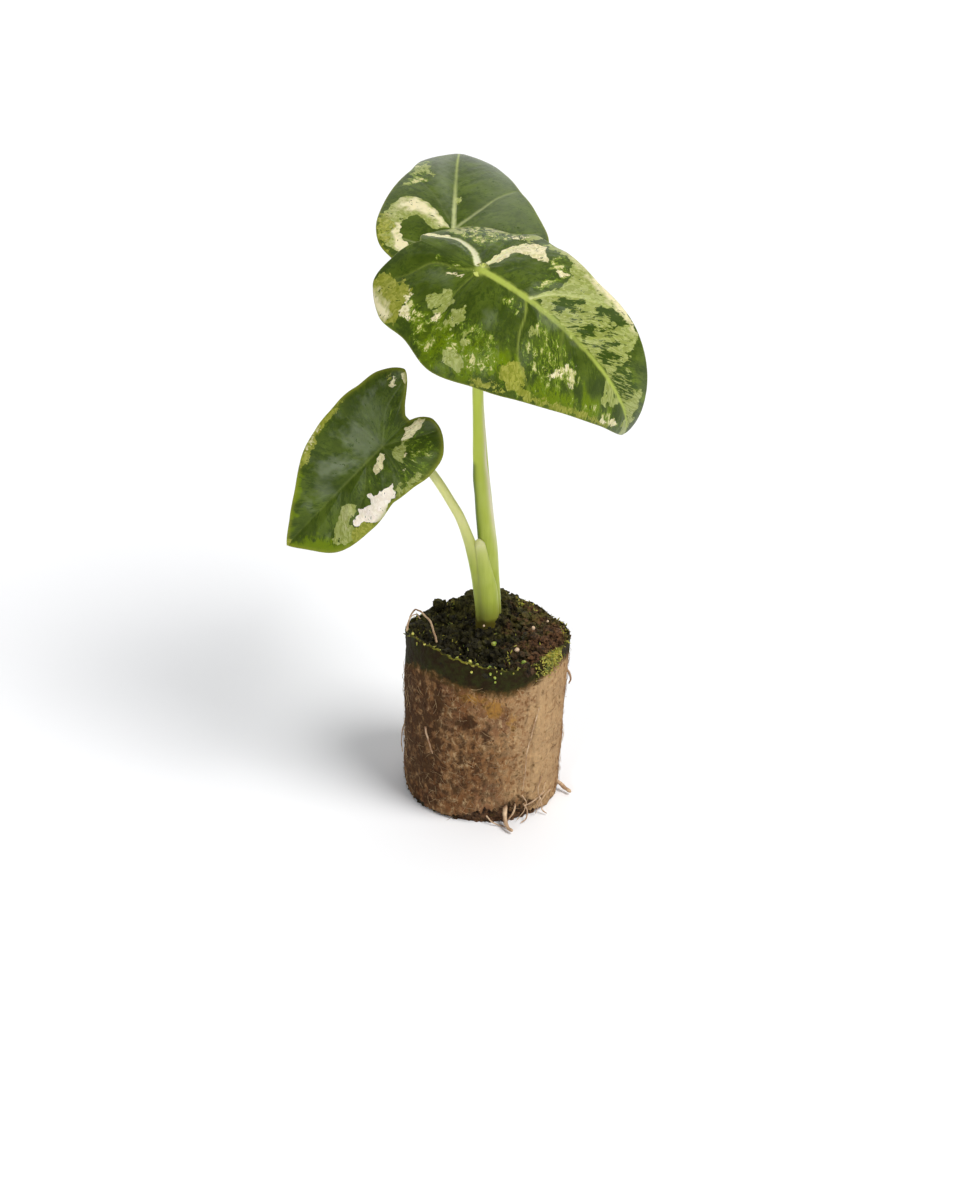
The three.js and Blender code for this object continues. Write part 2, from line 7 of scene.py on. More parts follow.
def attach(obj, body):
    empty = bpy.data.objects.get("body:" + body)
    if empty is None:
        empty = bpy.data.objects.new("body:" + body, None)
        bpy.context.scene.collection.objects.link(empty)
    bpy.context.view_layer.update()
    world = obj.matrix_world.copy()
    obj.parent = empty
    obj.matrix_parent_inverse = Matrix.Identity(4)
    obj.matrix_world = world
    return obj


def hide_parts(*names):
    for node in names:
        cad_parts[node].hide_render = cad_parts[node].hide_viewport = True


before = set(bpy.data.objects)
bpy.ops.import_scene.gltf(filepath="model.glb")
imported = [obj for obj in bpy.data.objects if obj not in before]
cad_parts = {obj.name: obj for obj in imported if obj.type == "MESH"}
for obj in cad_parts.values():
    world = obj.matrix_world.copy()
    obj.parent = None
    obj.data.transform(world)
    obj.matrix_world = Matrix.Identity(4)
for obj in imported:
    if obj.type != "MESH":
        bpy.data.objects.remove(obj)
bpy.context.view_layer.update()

# ---- Paper sleeve ----
# A tube of wet-laid fleece paper wound round the peat, lapped on itself at the front right. It is
# thin, soft and soaked. The rim is torn uneven and leans in over the soil; algae has stained it.
MM = 0.001
PLUG = {"foot": 16.75, "top": 17.5, "height": 37.0, "mean": 17, "dent": 0.22}
SLEEVE = {"around": 420, "up": 92, "down": 12, "wall": 0.5, "lap": 0.5, "lap_start": -51, "lap_end": -18,
          "lean": 0.35, "lean_height": 6}
# By azimuth in degrees: how far the torn rim stands above a level cut, how deep the stain runs, and
# how high the foot is torn.
RIM_EXTRA = [(-180, -0.7), (-168, 0.6), (-155, 1.7), (-130, 2.2), (-108, 1.8), (-90, 1.0), (-72, 0.6),
             (-50, 1.0), (-28, 1.3), (-8, 0.3), (15, -0.8), (35, -1.4), (60, -1.0), (90, 0), (120, -0.8),
             (145, -1.4), (165, -1.2)]
STAIN_DEPTH = [(-180, 8.6), (-163, 8.0), (-148, 7.0), (-125, 6.4), (-105, 6.6), (-88, 6.8), (-70, 6.2),
               (-56, 4.9), (-46, 3.9), (-30, 3.4), (0, 3.8), (60, 5.0), (130, 7.0)]
FOOT_TEAR = [(-130, 0), (-108, 0.8), (-92, 2.6), (-78, 3.2), (-66, 3.4), (-50, 1.8), (-40, 0.3), (-20, 0),
             (60, 0.2), (90, 1.6), (112, 0.3), (165, 0.8)]
# Marks on the paper: azimuth and height, their spreads in degrees and mm, and strength.
# The broad marks round the left and front left are painted shade, darker away from the light, laid over the
# real wet patches.
SOAKED_AND_SHADED = [(-125, 27, 4.5, 7.5, 1.0), (-165, 22, 32, 26, 0.8), (-136, 10, 26, 14, 0.7),
          (-101, 24.5, 9, 2.2, 0.8), (-88, 22, 5, 3, 0.7), (-60, 3, 22, 3, 0.6), (150, 16, 14, 9, 0.8),
          (95, 24, 12, 7, 0.7), (40, 9, 18, 6, 0.6), (-100, 14, 30, 14, 0.42), (-150, 16, 46, 40, 0.66)]
RUSTY = [(-83, 28.2, 6, 2.2, 1.0), (-98, 30.5, 9, 1.4, 0.7), (-70, 25, 5, 2, 0.5), (118, 30, 10, 2, 0.8),
         (20, 28, 8, 3, 0.6)]


def linear(code):
    """A colour written as sRGB hex, as the linear values that a node takes."""
    parts = [int(code[i:i + 2], 16) / 255 for i in (1, 3, 5)]
    return [p / 12.92 if p <= 0.04045 else ((p + 0.055) / 1.055) ** 2.4 for p in parts] + [1.0]


def fill(node, inputs):
    """Links or sets the inputs of a node."""
    for key, value in dict(inputs).items():
        if isinstance(value, bpy.types.NodeSocket):
            node.id_data.links.new(value, node.inputs[key])
        else:
            node.inputs[key].default_value = value


def add(tree, kind, inputs=(), out=0, **settings):
    """Adds a node, sets it, fills its inputs, and gives one of its outputs."""
    node = tree.nodes.new(kind)
    for setting, value in settings.items():
        setattr(node, setting, value)
    fill(node, inputs)
    return node.outputs[out] if len(node.outputs) else None


def surface(name):
    """A new material, with its node tree and its shader."""
    material = bpy.data.materials.new(name)
    material.use_nodes = True
    return material, material.node_tree, material.node_tree.nodes["Principled BSDF"]


def ripples(points, wavelength, seed, count=28):
    """A smooth, irregular swell over points, mostly between -1 and 1, of one wavelength in mm."""
    draw = np.random.default_rng(seed)
    turns = draw.normal(size=(count, points.shape[-1]))
    turns *= 2 * np.pi / wavelength / np.linalg.norm(turns, axis=1, keepdims=True)
    starts = draw.uniform(0, 2 * np.pi, count)
    return np.sin(points @ turns.T + starts).sum(-1) / math.sqrt(count)


def hold(mesh, field, values):
    """Gives every point of a mesh a value, in a field that nodes can read by its name."""
    mesh.attributes.new(field, "FLOAT", "POINT").data.foreach_set("value", values.astype(np.float32))


def piece(name, points, faces, material, slot, fields=(), maps=()):
    """A finished piece in the frame's place, from points in mm, with its fields and UV maps."""
    mesh = bpy.data.meshes.new(name)
    mesh.from_pydata((np.asarray(points) * MM).tolist(), [], faces)
    for field, values in dict(fields).items():
        hold(mesh, field, values)
    corners = np.zeros(len(mesh.loops), np.int32)
    mesh.loops.foreach_get("vertex_index", corners)
    for label, places in dict(maps).items():
        mesh.uv_layers.new(name=label).data.foreach_set("uv", places[corners].ravel().astype(np.float32))
    mesh.shade_smooth()
    mesh.materials.append(material)
    made = bpy.data.objects.new(name, mesh)
    bpy.context.scene.collection.objects.link(made)
    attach(made, "root")
    return made


def ring_faces(rows, columns, closed):
    """Faces of rows that each run all the way round; closed joins the last row to the first."""
    row, column = np.meshgrid(np.arange(rows if closed else rows - 1), np.arange(columns), indexing="ij")
    low, high = row * columns, (row + 1) % rows * columns
    ahead = (column + 1) % columns
    return np.stack([low + column, low + ahead, high + ahead, high + column], -1).reshape(-1, 4).tolist()


def by_azimuth(table, degrees):
    angles, values = zip(*table)
    return np.interp(degrees, angles, values, period=360)


def plug_radius(turn, z):
    """The outside of the wrapped plug, with the shallow dents that fingers leave."""
    plain = PLUG["foot"] + (PLUG["top"] - PLUG["foot"]) * z / PLUG["height"]
    dents = np.sin(3 * turn + z / 9) + 0.7 * np.sin(5 * turn - z / 6 + 1.3)
    return plain + PLUG["dent"] * dents / 1.7 - PLUG["dent"]


def rim_height(turn):
    level = PLUG["height"] + 0.35 * np.sin(2 * turn + 0.7) + 0.2 * np.sin(7 * turn)
    return level + by_azimuth(RIM_EXTRA, np.degrees(turn))


turn = np.linspace(0, 2 * np.pi, SLEEVE["around"], endpoint=False)
degrees = (np.degrees(turn) + 180) % 360 - 180
circle = np.stack([np.cos(turn), np.sin(turn)], -1)
torn = 0.16 * ripples(circle * PLUG["mean"], 2.4, 11) + 0.10 * ripples(circle * PLUG["mean"], 0.9, 12)
rim = rim_height(turn) + torn
tear = by_azimuth(FOOT_TEAR, degrees)
frayed = 0.25 * ripples(circle * PLUG["mean"], 5.0, 13) + 0.14 * ripples(circle * PLUG["mean"], 1.1, 14)
foot = np.clip(0.35 + tear + frayed * (1 + 0.8 * tear), 0, 8)
lap_share = (degrees - SLEEVE["lap_start"]) / (SLEEVE["lap_end"] - SLEEVE["lap_start"])
lap = np.where((lap_share >= 0) & (lap_share <= 1), SLEEVE["lap"] * (1 - 0.6 * lap_share), 0)


def sleeve_row(share, inside):
    """One row of the sleeve: share runs from the foot, 0, to the rim, 1."""
    z = foot + (rim - foot) * share
    rim_lean = np.maximum(by_azimuth(RIM_EXTRA, degrees), 0) * SLEEVE["lean"]
    near_rim = (z - rim + SLEEVE["lean_height"]) / SLEEVE["lean_height"]
    lean = rim_lean * np.clip(near_rim, 0, 1) ** 2
    radius = plug_radius(turn, z) - lean
    place = np.stack([circle[:, 0] * PLUG["mean"], circle[:, 1] * PLUG["mean"], z], -1)
    creases = 0.10 * ripples(place * [1, 1, 0.5], 5.5, 15) + 0.05 * ripples(place, 2.0, 16)
    fibres = 0.035 * ripples(place * [1, 1, 0.4], 0.9, 17) + 0.03 * ripples(place, 0.7, 18)
    radius = radius + (creases - SLEEVE["wall"] if inside else creases + fibres + lap)
    return np.concatenate([circle * radius[:, None], z[:, None]], 1)


outer = [sleeve_row(share, False) for share in np.linspace(0, 1, SLEEVE["up"])]
inner = [sleeve_row(share, True) for share in np.linspace(1, 0, SLEEVE["down"])]
lip = (outer[-1] + inner[0]) / 2 + [0, 0, 0.12]
rows = np.array(outer + [lip] + inner)
sleeve_points = rows.reshape(-1, 3)
below_rim = (rim - rows[..., 2]).ravel()
stain = (np.tile(by_azimuth(STAIN_DEPTH, degrees), len(rows)) - below_rim) / 4
strip = np.where((lap_share > 0.0) & (lap_share < 0.22), 1.0,
                 np.where((lap_share > 0) & (lap_share < 1), 0.3, 0))
# The front right of the sleeve, which faces the light, is painted lighter: a painted highlight, joined to the
# paler strip along the lap's edge.
painted_lit_side = 0.62 * np.exp(-((degrees + 40) / 30) ** 2)
seam_and_lit_side = np.tile(np.maximum(strip, painted_lit_side), len(rows))


def spotted(marks, azimuth, height):
    """How strongly each place is covered by a list of soft oval marks."""
    cover = np.zeros(len(height))
    for mark_azimuth, mark_height, wide, tall, strength in marks:
        off = ((azimuth - mark_azimuth + 180) % 360 - 180) / wide
        up = (height - mark_height) / tall
        cover = np.maximum(cover, strength * np.exp(-off ** 2 - up ** 2))
    return cover


around_sleeve = np.tile(degrees, len(rows))
soaked_and_shaded = spotted(SOAKED_AND_SHADED, around_sleeve, sleeve_points[:, 2])
rusty = spotted(RUSTY, around_sleeve, sleeve_points[:, 2])
fringe = np.exp(-(below_rim / 0.28) ** 2) * by_azimuth(
    [(-180, 0.3), (-160, 0.5), (-95, 0.55), (-70, 0.35), (-40, 0.5), (-10, 0.3), (30, 0.15), (150, 0.15)],
    around_sleeve)
fringe = np.maximum(fringe, 0.75 * np.exp(-((around_sleeve + 34) / 12) ** 2 - (below_rim / 3.4) ** 2))

# Fleece paper: unbleached, wet, with bark flecks in the pulp. Matt, mottled, dark where soaked; the left
# side, away from the light, is also painted darker as shade.
# Its layers: noise per mm and its detail, where it shows from and to, its share, its colour.
PULP_LAYERS = [
    (0.12, 3, 0.40, 0.62, 0.55, "#9a744c"), (0.30, 4, 0.46, 0.60, 0.50, "#b48e62"),
    (0.22, 3, 0.50, 0.66, 0.45, "#74503f"), (0.45, 5, 0.54, 0.64, 0.60, "#523420"),
    (1.00, 4, 0.54, 0.66, 0.55, "#cdb286"), (1.50, 4, 0.57, 0.62, 0.75, "#38210f"),
    (3.00, 3, 0.60, 0.66, 0.60, "#26170c"), (2.60, 2, 0.64, 0.72, 0.40, "#e3cfa6")]
# What lies on it: the field that places it, where it shows from and to, its share, its colour.
PULP_STAINS = [
    # The first entry below is partly a painted highlight, lighter on the side that faces the light.
    ("seam_and_lit_side", 0.50, 1.15, 0.62, "#cbaa7e"), ("rusty", 0.70, 1.1, 0.7, "#a87a34"),
    # The first entry below is partly painted shade, darker down the side away from the light.
    ("soaked_and_shaded", 0.60, 1.2, 0.88, "#341f10"), ("stain", 0.40, 0.85, 0.85, "#4c3a1a")]
fleece_paper, tree, shader = surface("wet_fleece_paper")
place = add(tree, "ShaderNodeTexCoord", out="Object")
in_mm = add(tree, "ShaderNodeVectorMath", {0: place, 3: 1000.0}, operation="SCALE")
drawn_up = add(tree, "ShaderNodeVectorMath", {0: in_mm, 1: (1, 1, 0.6)}, operation="MULTIPLY")
pulp = add(tree, "ShaderNodeRGB")
pulp.default_value = linear("#7a5333")
for scale, detail, low, high, share, tint in PULP_LAYERS:
    layer = add(tree, "ShaderNodeTexNoise", {0: drawn_up, "Scale": scale, "Detail": detail,
                                             "Roughness": 0.68, "Distortion": 0.5})
    layer = add(tree, "ShaderNodeMapRange", {0: layer, 1: low, 2: high, 4: share})
    pulp = add(tree, "ShaderNodeMix", {0: layer, 6: pulp, 7: linear(tint)}, 2, data_type="RGBA")
creep = add(tree, "ShaderNodeTexNoise", {0: in_mm, "Scale": 0.6, "Detail": 6, "Roughness": 0.65})
for field, low, high, share, tint in PULP_STAINS:
    held = add(tree, "ShaderNodeAttribute", attribute_name=field, out="Fac")
    if field != "stain":
        held = add(tree, "ShaderNodeMath", {0: creep, 1: 1.4, 2: held}, operation="MULTIPLY_ADD")
        held = add(tree, "ShaderNodeMath", {0: held, 1: 0.6}, operation="SUBTRACT")
    held = add(tree, "ShaderNodeMath", {0: creep, 1: 1.1, 2: held}, operation="MULTIPLY_ADD")
    held = add(tree, "ShaderNodeMath", {0: held, 1: 0.15 if field != "stain" else 0.0}, operation="SUBTRACT")
    held = add(tree, "ShaderNodeMapRange", {0: held, 1: low, 2: high, 4: share},
               interpolation_type="SMOOTHSTEP")
    pulp = add(tree, "ShaderNodeMix", {0: held, 6: pulp, 7: linear(tint)}, 2, data_type="RGBA")
slime = add(tree, "ShaderNodeTexNoise", {0: in_mm, "Scale": 0.5, "Detail": 5, "Roughness": 0.7})
slime = add(tree, "ShaderNodeMapRange", {0: slime, 1: 0.42, 2: 0.66})
algae = add(tree, "ShaderNodeMix", {0: slime, 6: linear("#241a08"), 7: linear("#2d3210")}, 2,
            data_type="RGBA")
stained = add(tree, "ShaderNodeAttribute", attribute_name="stain", out="Fac")
stained = add(tree, "ShaderNodeMath", {0: creep, 1: 1.1, 2: stained}, operation="MULTIPLY_ADD")
covered = add(tree, "ShaderNodeMapRange", {0: stained, 1: 0.66, 2: 1.05, 4: 0.97},
              interpolation_type="SMOOTHSTEP")
pulp = add(tree, "ShaderNodeMix", {0: covered, 6: pulp, 7: algae}, 2, data_type="RGBA")
fringe_field = add(tree, "ShaderNodeAttribute", attribute_name="fringe", out="Fac")
fringed = add(tree, "ShaderNodeMath", {0: creep, 1: 1.1, 2: fringe_field}, operation="MULTIPLY_ADD")
fringed = add(tree, "ShaderNodeMapRange", {0: fringed, 1: 0.92, 2: 1.25, 4: 0.9})
pulp = add(tree, "ShaderNodeMix", {0: fringed, 6: pulp, 7: linear("#8e8c30")}, 2, data_type="RGBA")
damp = add(tree, "ShaderNodeMapRange", {0: covered, 3: 0.92, 4: 0.7})
felt = add(tree, "ShaderNodeTexNoise", {0: in_mm, "Scale": 1.8, "Detail": 4, "Roughness": 0.7})
felt = add(tree, "ShaderNodeBump", {"Height": felt, "Strength": 0.9, "Distance": 0.35 * MM})
fill(shader, {"Base Color": pulp, "Roughness": damp, "Normal": felt, "Specular IOR Level": 0.1})

sleeve = piece("fleece_sleeve", sleeve_points, ring_faces(len(rows), SLEEVE["around"], True), fleece_paper,
               "sleeve_paper",
               {"stain": stain, "seam_and_lit_side": seam_and_lit_side, "soaked_and_shaded": soaked_and_shaded, "rusty": rusty, "fringe": fringe})
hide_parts("paper_sleeve")

# Loose fibres: coarse pulp hairs that have lifted off the paper and lie flat on it or stand a little
# proud. Each is a bent round hair, scattered over the outside of the sleeve.
FIBRE = {"length": 2.6, "radius": 0.034, "per_mm2": 0.30}


def grown(name, carrier, tree, values, material):
    """A piece grown on a carrier by a node tree, as a plain mesh; the carrier keeps no modifier."""
    modifier = carrier.modifiers.new(name, "NODES")
    modifier.node_group = tree
    for socket in tree.interface.items_tree:
        if socket.in_out == "INPUT" and socket.name in values:
            modifier[socket.identifier] = values[socket.name]
    bpy.context.view_layer.update()
    shape = carrier.evaluated_get(bpy.context.evaluated_depsgraph_get())
    mesh = bpy.data.meshes.new_from_object(shape)
    carrier.modifiers.remove(modifier)
    mesh.materials.clear()
    mesh.materials.append(material)
    places = np.zeros(len(mesh.vertices) * 3, np.float32)
    mesh.vertices.foreach_get("co", places)
    places[2::3] = np.maximum(places[2::3], 0)
    mesh.vertices.foreach_set("co", places)
    made = bpy.data.objects.new(name, mesh)
    bpy.context.scene.collection.objects.link(made)
    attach(made, "root")
    return made


def new_tree(name, sizes):
    """An empty node tree with a geometry input, named sizes with their kinds, and an output."""
    tree = bpy.data.node_groups.new(name, "GeometryNodeTree")
    tree.interface.new_socket("Geometry", in_out="INPUT", socket_type="NodeSocketGeometry")
    for label, kind in sizes.items():
        tree.interface.new_socket(label, in_out="INPUT", socket_type="NodeSocket" + kind)
    tree.interface.new_socket("Geometry", in_out="OUTPUT", socket_type="NodeSocketGeometry")
    start = tree.nodes.new("NodeGroupInput")
    return tree, start.outputs


def scattered(tree, given, copies, lumps=0, detail=0):
    """Ends a node tree: sets the copies on their points, roughens them by noise if asked, paints them."""
    shape = add(tree, "GeometryNodeInstanceOnPoints", copies)
    shape = add(tree, "GeometryNodeRealizeInstances", {0: shape})
    if lumps:
        here = add(tree, "GeometryNodeInputPosition")
        bumps = add(tree, "ShaderNodeTexNoise", {"Vector": here, "Scale": lumps, "Detail": detail}, "Color")
        bumps = add(tree, "ShaderNodeVectorMath", {0: bumps, 1: (0.5, 0.5, 0.5)}, operation="SUBTRACT")
        bumps = add(tree, "ShaderNodeVectorMath", {0: bumps, 3: given["Roughness"]}, operation="SCALE")
        shape = add(tree, "GeometryNodeSetPosition", {"Geometry": shape, "Offset": bumps})
    shape = add(tree, "GeometryNodeSetMaterial", {"Geometry": shape, "Material": given["Material"]})
    add(tree, "NodeGroupOutput", {0: shape})


fibre_tree, given = new_tree("scatter_fibres", {
    "Length": "Float", "Radius": "Float", "Per square metre": "Float", "Seed": "Int",
    "Material": "Material"})
allowed = add(fibre_tree, "GeometryNodeInputNamedAttribute", {"Name": "hairy"}, data_type="FLOAT")
spots = add(fibre_tree, "GeometryNodeDistributePointsOnFaces", {
    "Mesh": given["Geometry"], "Density": given["Per square metre"], "Seed": given["Seed"],
    "Selection": allowed}, distribute_method="RANDOM")
facing = spots.node.outputs["Rotation"]
half = add(fibre_tree, "ShaderNodeMath", {0: given["Length"], 1: 0.5}, operation="MULTIPLY")
back = add(fibre_tree, "ShaderNodeMath", {0: given["Length"], 1: -0.5}, operation="MULTIPLY")
rise = add(fibre_tree, "ShaderNodeMath", {0: given["Length"], 1: 0.16}, operation="MULTIPLY")
first = add(fibre_tree, "ShaderNodeCombineXYZ", {0: back})
middle = add(fibre_tree, "ShaderNodeCombineXYZ", {1: rise, 2: rise})
last = add(fibre_tree, "ShaderNodeCombineXYZ", {0: half})
hair = add(fibre_tree, "GeometryNodeCurveQuadraticBezier", {
    "Resolution": 6, "Start": first, "Middle": middle, "End": last})
section = add(fibre_tree, "GeometryNodeCurvePrimitiveCircle", {"Resolution": 3, "Radius": given["Radius"]})
hair = add(fibre_tree, "GeometryNodeCurveToMesh", {"Curve": hair, "Profile Curve": section,
                                                   "Fill Caps": True})
spin = add(fibre_tree, "FunctionNodeRandomValue", {0: (0, 0, 0), 1: (0.25, 0.25, 6.28),
                                                   "Seed": given["Seed"]},
           data_type="FLOAT_VECTOR")
turned = add(fibre_tree, "FunctionNodeRotateRotation", {0: facing, 1: spin}, rotation_space="LOCAL")
scale = add(fibre_tree, "FunctionNodeRandomValue", {2: 0.4, 3: 1.25, "Seed": given["Seed"]}, 1)
scattered(fibre_tree, given, {"Points": spots, "Instance": hair, "Rotation": turned, "Scale": scale})

# Pulp hair: a bleached plant fibre, dull and pale straw, darker where it is wet.
pulp_hair, tree, shader = surface("pulp_hair")
place = add(tree, "ShaderNodeTexCoord", out="Object")
tone = add(tree, "ShaderNodeTexNoise", {0: place, "Scale": 260, "Detail": 2})
tone = add(tree, "ShaderNodeMapRange", {0: tone, 1: 0.38, 2: 0.62})
straw = add(tree, "ShaderNodeMix", {0: tone, 6: linear("#654428"), 7: linear("#c2a67c")}, 2, data_type="RGBA")
fill(shader, {"Base Color": straw, "Roughness": 0.85})

outside = np.repeat([1.0, 0.0], [SLEEVE["up"], len(rows) - SLEEVE["up"]])
clean_paper = (stain < 0.3) & (np.repeat(outside, SLEEVE["around"]) > 0)
hold(sleeve.data, "hairy", clean_paper)
grown("sleeve_fibres", sleeve, fibre_tree, {
    "Length": FIBRE["length"] * MM, "Radius": FIBRE["radius"] * MM,
    "Per square metre": FIBRE["per_mm2"] * 1e6, "Seed": 5, "Material": pulp_hair}, pulp_hair)

# ---- Soil ----
# Sieved peat with bark and coir, pressed into the sleeve and watered in. It is heaped behind the
# stem, sunk in front of it, black and algae-slimed on the left, open and reddish on the right.
SOIL = {"around": 360, "rings": 96, "wall_rings": 24, "rim_drop": 0.9, "crumb": 0.55}
HEAPS = [(-0.5, 14.0, 5.5, 3.0), (9, 8, 5.0, 0.8), (15, 1.5, 3.5, 1.0), (-4, -8, 7.5, -1.7),
         (0.5, 1.6, 3.4, 3.8), (6, -8.5, 3.5, 1.0), (-9, 9, 4, 0.3), (11, -2, 3, 0.7)]


def soil_height(x, y):
    """The pressed surface: broad heaps and hollows, given as x, y, spread and height."""
    lumps = np.sin(1.9 * x + 0.6 * y) * np.cos(1.5 * y - 0.7 * x) + 0.6 * np.sin(3.1 * x - 2.3 * y + 1)
    level = PLUG["height"] - SOIL["rim_drop"] + SOIL["crumb"] * lumps
    for heap_x, heap_y, spread, height in HEAPS:
        level = level + height * np.exp(-((x - heap_x) ** 2 + (y - heap_y) ** 2) / spread ** 2)
    return level


turn = np.linspace(0, 2 * np.pi, SOIL["around"], endpoint=False)
circle = np.stack([np.cos(turn), np.sin(turn)], -1)
soil_rim = rim_height(turn)
soil_lean = np.maximum(by_azimuth(RIM_EXTRA, np.degrees(turn)), 0) * SLEEVE["lean"]
wall_rows = []
for share in np.linspace(0, 0.96, SOIL["wall_rings"]):
    z = soil_rim * share
    near_rim = (z - soil_rim + SLEEVE["lean_height"]) / SLEEVE["lean_height"]
    lean = soil_lean * np.clip(near_rim, 0, 1) ** 2
    radius = plug_radius(turn, z) - SLEEVE["wall"] - 0.08 - lean
    wall_rows.append(np.concatenate([circle * radius[:, None], z[:, None]], 1))
top_rows = []
edge = plug_radius(turn, 36.0) - SLEEVE["wall"] - 0.1 - soil_lean
for share in np.linspace(1, 0.004, SOIL["rings"]) ** 0.8:
    flat = circle * (edge * share)[:, None]
    x, y = flat.T
    rough = 0.55 * np.abs(ripples(flat, 3.6, 31)) + 0.35 * np.abs(ripples(flat, 1.8, 34))
    rough += 0.14 * ripples(flat, 0.9, 32) + 0.07 * ripples(flat, 0.5, 33)
    z = soil_height(x, y) + rough - 0.6
    z = np.minimum(z, soil_rim - 0.5 + 6 * (1 - share)) if share > 0.9 else z
    top_rows.append(np.concatenate([flat, z[:, None]], 1))
rows = np.array(wall_rows + top_rows)
soil_points = np.concatenate([rows.reshape(-1, 3), [[0, 0, soil_height(0, 0)], [0, 0, 0]]])
soil_faces = ring_faces(len(rows), SOIL["around"], False)
crown, floor_centre = len(soil_points) - 2, len(soil_points) - 1
last_row = (len(rows) - 1) * SOIL["around"]
for column in range(SOIL["around"]):
    ahead = (column + 1) % SOIL["around"]
    soil_faces += [[last_row + column, last_row + ahead, crown], [ahead, column, floor_centre]]
on_top = np.repeat([0.0, 1.0], [SOIL["wall_rings"] * SOIL["around"], SOIL["rings"] * SOIL["around"]])
on_top = np.concatenate([on_top, [1, 0]])
soil_azimuth = np.degrees(np.arctan2(soil_points[:, 1], soil_points[:, 0]))
bare_foot = np.clip((by_azimuth(FOOT_TEAR, soil_azimuth) + 1.0 - soil_points[:, 2]) / 0.6, 0, 1)
bare_foot *= (on_top < 0.5) & (np.hypot(*soil_points[:, :2].T) > 15)

# Wet peat: humus, bark and coir. Nearly black, red-brown where it is dry and open, olive where
# algae and moss have started, with a damp glint on the finest crumbs.
peat, tree, shader = surface("wet_peat")
place = add(tree, "ShaderNodeTexCoord", out="Object")
in_mm = add(tree, "ShaderNodeVectorMath", {0: place, 3: 1000.0}, operation="SCALE")
across = add(tree, "ShaderNodeSeparateXYZ", {0: in_mm})
grit = add(tree, "ShaderNodeTexNoise", {0: in_mm, "Scale": 1.1, "Detail": 4, "Roughness": 0.7})
patches = add(tree, "ShaderNodeTexNoise", {0: in_mm, "Scale": 0.33, "Detail": 3})
dark = add(tree, "ShaderNodeMapRange", {0: grit, 1: 0.35, 2: 0.7})
humus = add(tree, "ShaderNodeMix", {0: dark, 6: linear("#0b0a03"), 7: linear("#2f2a10")}, 2, data_type="RGBA")
low_down = add(tree, "ShaderNodeMapRange", {0: across.node.outputs[2], 1: 0.0, 2: 34.0, 3: 0.55, 4: 0.0})
dry = add(tree, "ShaderNodeMath", {0: across, 1: 0.04, 2: patches}, operation="MULTIPLY_ADD")
dry = add(tree, "ShaderNodeMath", {0: dry, 1: low_down}, operation="ADD")
dry = add(tree, "ShaderNodeMapRange", {0: dry, 1: 0.66, 2: 0.98, 4: 0.85})
redder = add(tree, "ShaderNodeMix", {0: dark, 6: linear("#22140b"), 7: linear("#805a3c")}, 2,
             data_type="RGBA")
humus = add(tree, "ShaderNodeMix", {0: dry, 6: humus, 7: redder}, 2, data_type="RGBA")
green_spots = add(tree, "ShaderNodeTexNoise", {0: in_mm, "Scale": 0.5, "Detail": 5, "Roughness": 0.7})
behind = add(tree, "ShaderNodeMapRange", {0: across.node.outputs[1], 1: -4.0, 2: 14.0, 3: -0.03, 4: 0.13})
green_spots = add(tree, "ShaderNodeMath", {0: green_spots, 1: behind}, operation="ADD")
green_spots = add(tree, "ShaderNodeMapRange", {0: green_spots, 1: 0.50, 2: 0.64, 4: 0.8})
olive = add(tree, "ShaderNodeMix", {0: dark, 6: linear("#2a2c0c"), 7: linear("#605a26")}, 2, data_type="RGBA")
humus = add(tree, "ShaderNodeMix", {0: green_spots, 6: humus, 7: olive}, 2, data_type="RGBA")
gloss = add(tree, "ShaderNodeMapRange", {0: patches, 1: 0.4, 2: 0.65, 3: 0.6, 4: 0.95})
rough = add(tree, "ShaderNodeBump", {"Height": grit, "Strength": 0.8, "Distance": 0.35 * MM})
fill(shader, {"Base Color": humus, "Roughness": gloss, "Normal": rough, "Specular IOR Level": 0.22})

soil = piece("pressed_soil", soil_points, soil_faces, peat, "peat",
             {"crumbly": on_top * np.clip(0.62 + 0.035 * soil_points[:, 0] + 0.02 * soil_points[:, 1], 0.3,
                                          1),
              "bare_foot": bare_foot})
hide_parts("soil_plug")

# Crumbs: loose grains of peat and bark, thrown over the pressed surface and caught in the torn foot.
# One rounded grain is repeated at many sizes, then the whole heap is roughened so that no two match.
# Each kind: where it lies, its radius, number per square mm, roughness and flatness, then how finely
# a grain is divided and its seed.
CRUMBS = {
    "soil_crumbs": ("crumbly", 0.58, 1.2, 1.5, 0.8, 2, 3),
    "fine_soil_crumbs": ("crumbly", 0.28, 3.6, 0.9, 0.9, 1, 6),
    "soil_clods": ("crumbly", 1.0, 0.11, 2.2, 0.75, 4, 12),
    "foot_crumbs": ("bare_foot", 0.42, 2.0, 0.9, 0.8, 2, 8)}

crumb_tree, given = new_tree("scatter_crumbs", {
    "Where": "String", "Radius": "Float", "Per square metre": "Float", "Roughness": "Float",
    "Flatness": "Float", "Fineness": "Int", "Seed": "Int", "Material": "Material"})
allowed = add(crumb_tree, "GeometryNodeInputNamedAttribute", {"Name": given["Where"]}, data_type="FLOAT")
spots = add(crumb_tree, "GeometryNodeDistributePointsOnFaces", {
    "Mesh": given["Geometry"], "Distance Min": given["Radius"], "Density Max": given["Per square metre"],
    "Density Factor": allowed, "Seed": given["Seed"]}, distribute_method="POISSON")
grain = add(crumb_tree, "GeometryNodeMeshIcoSphere", {"Radius": given["Radius"],
                                                      "Subdivisions": given["Fineness"]})
draw = add(crumb_tree, "FunctionNodeRandomValue", {2: 0.0, 3: 1.0, "Seed": given["Seed"]}, 1)
draw = add(crumb_tree, "ShaderNodeMath", {0: draw, 1: 2.2}, operation="POWER")
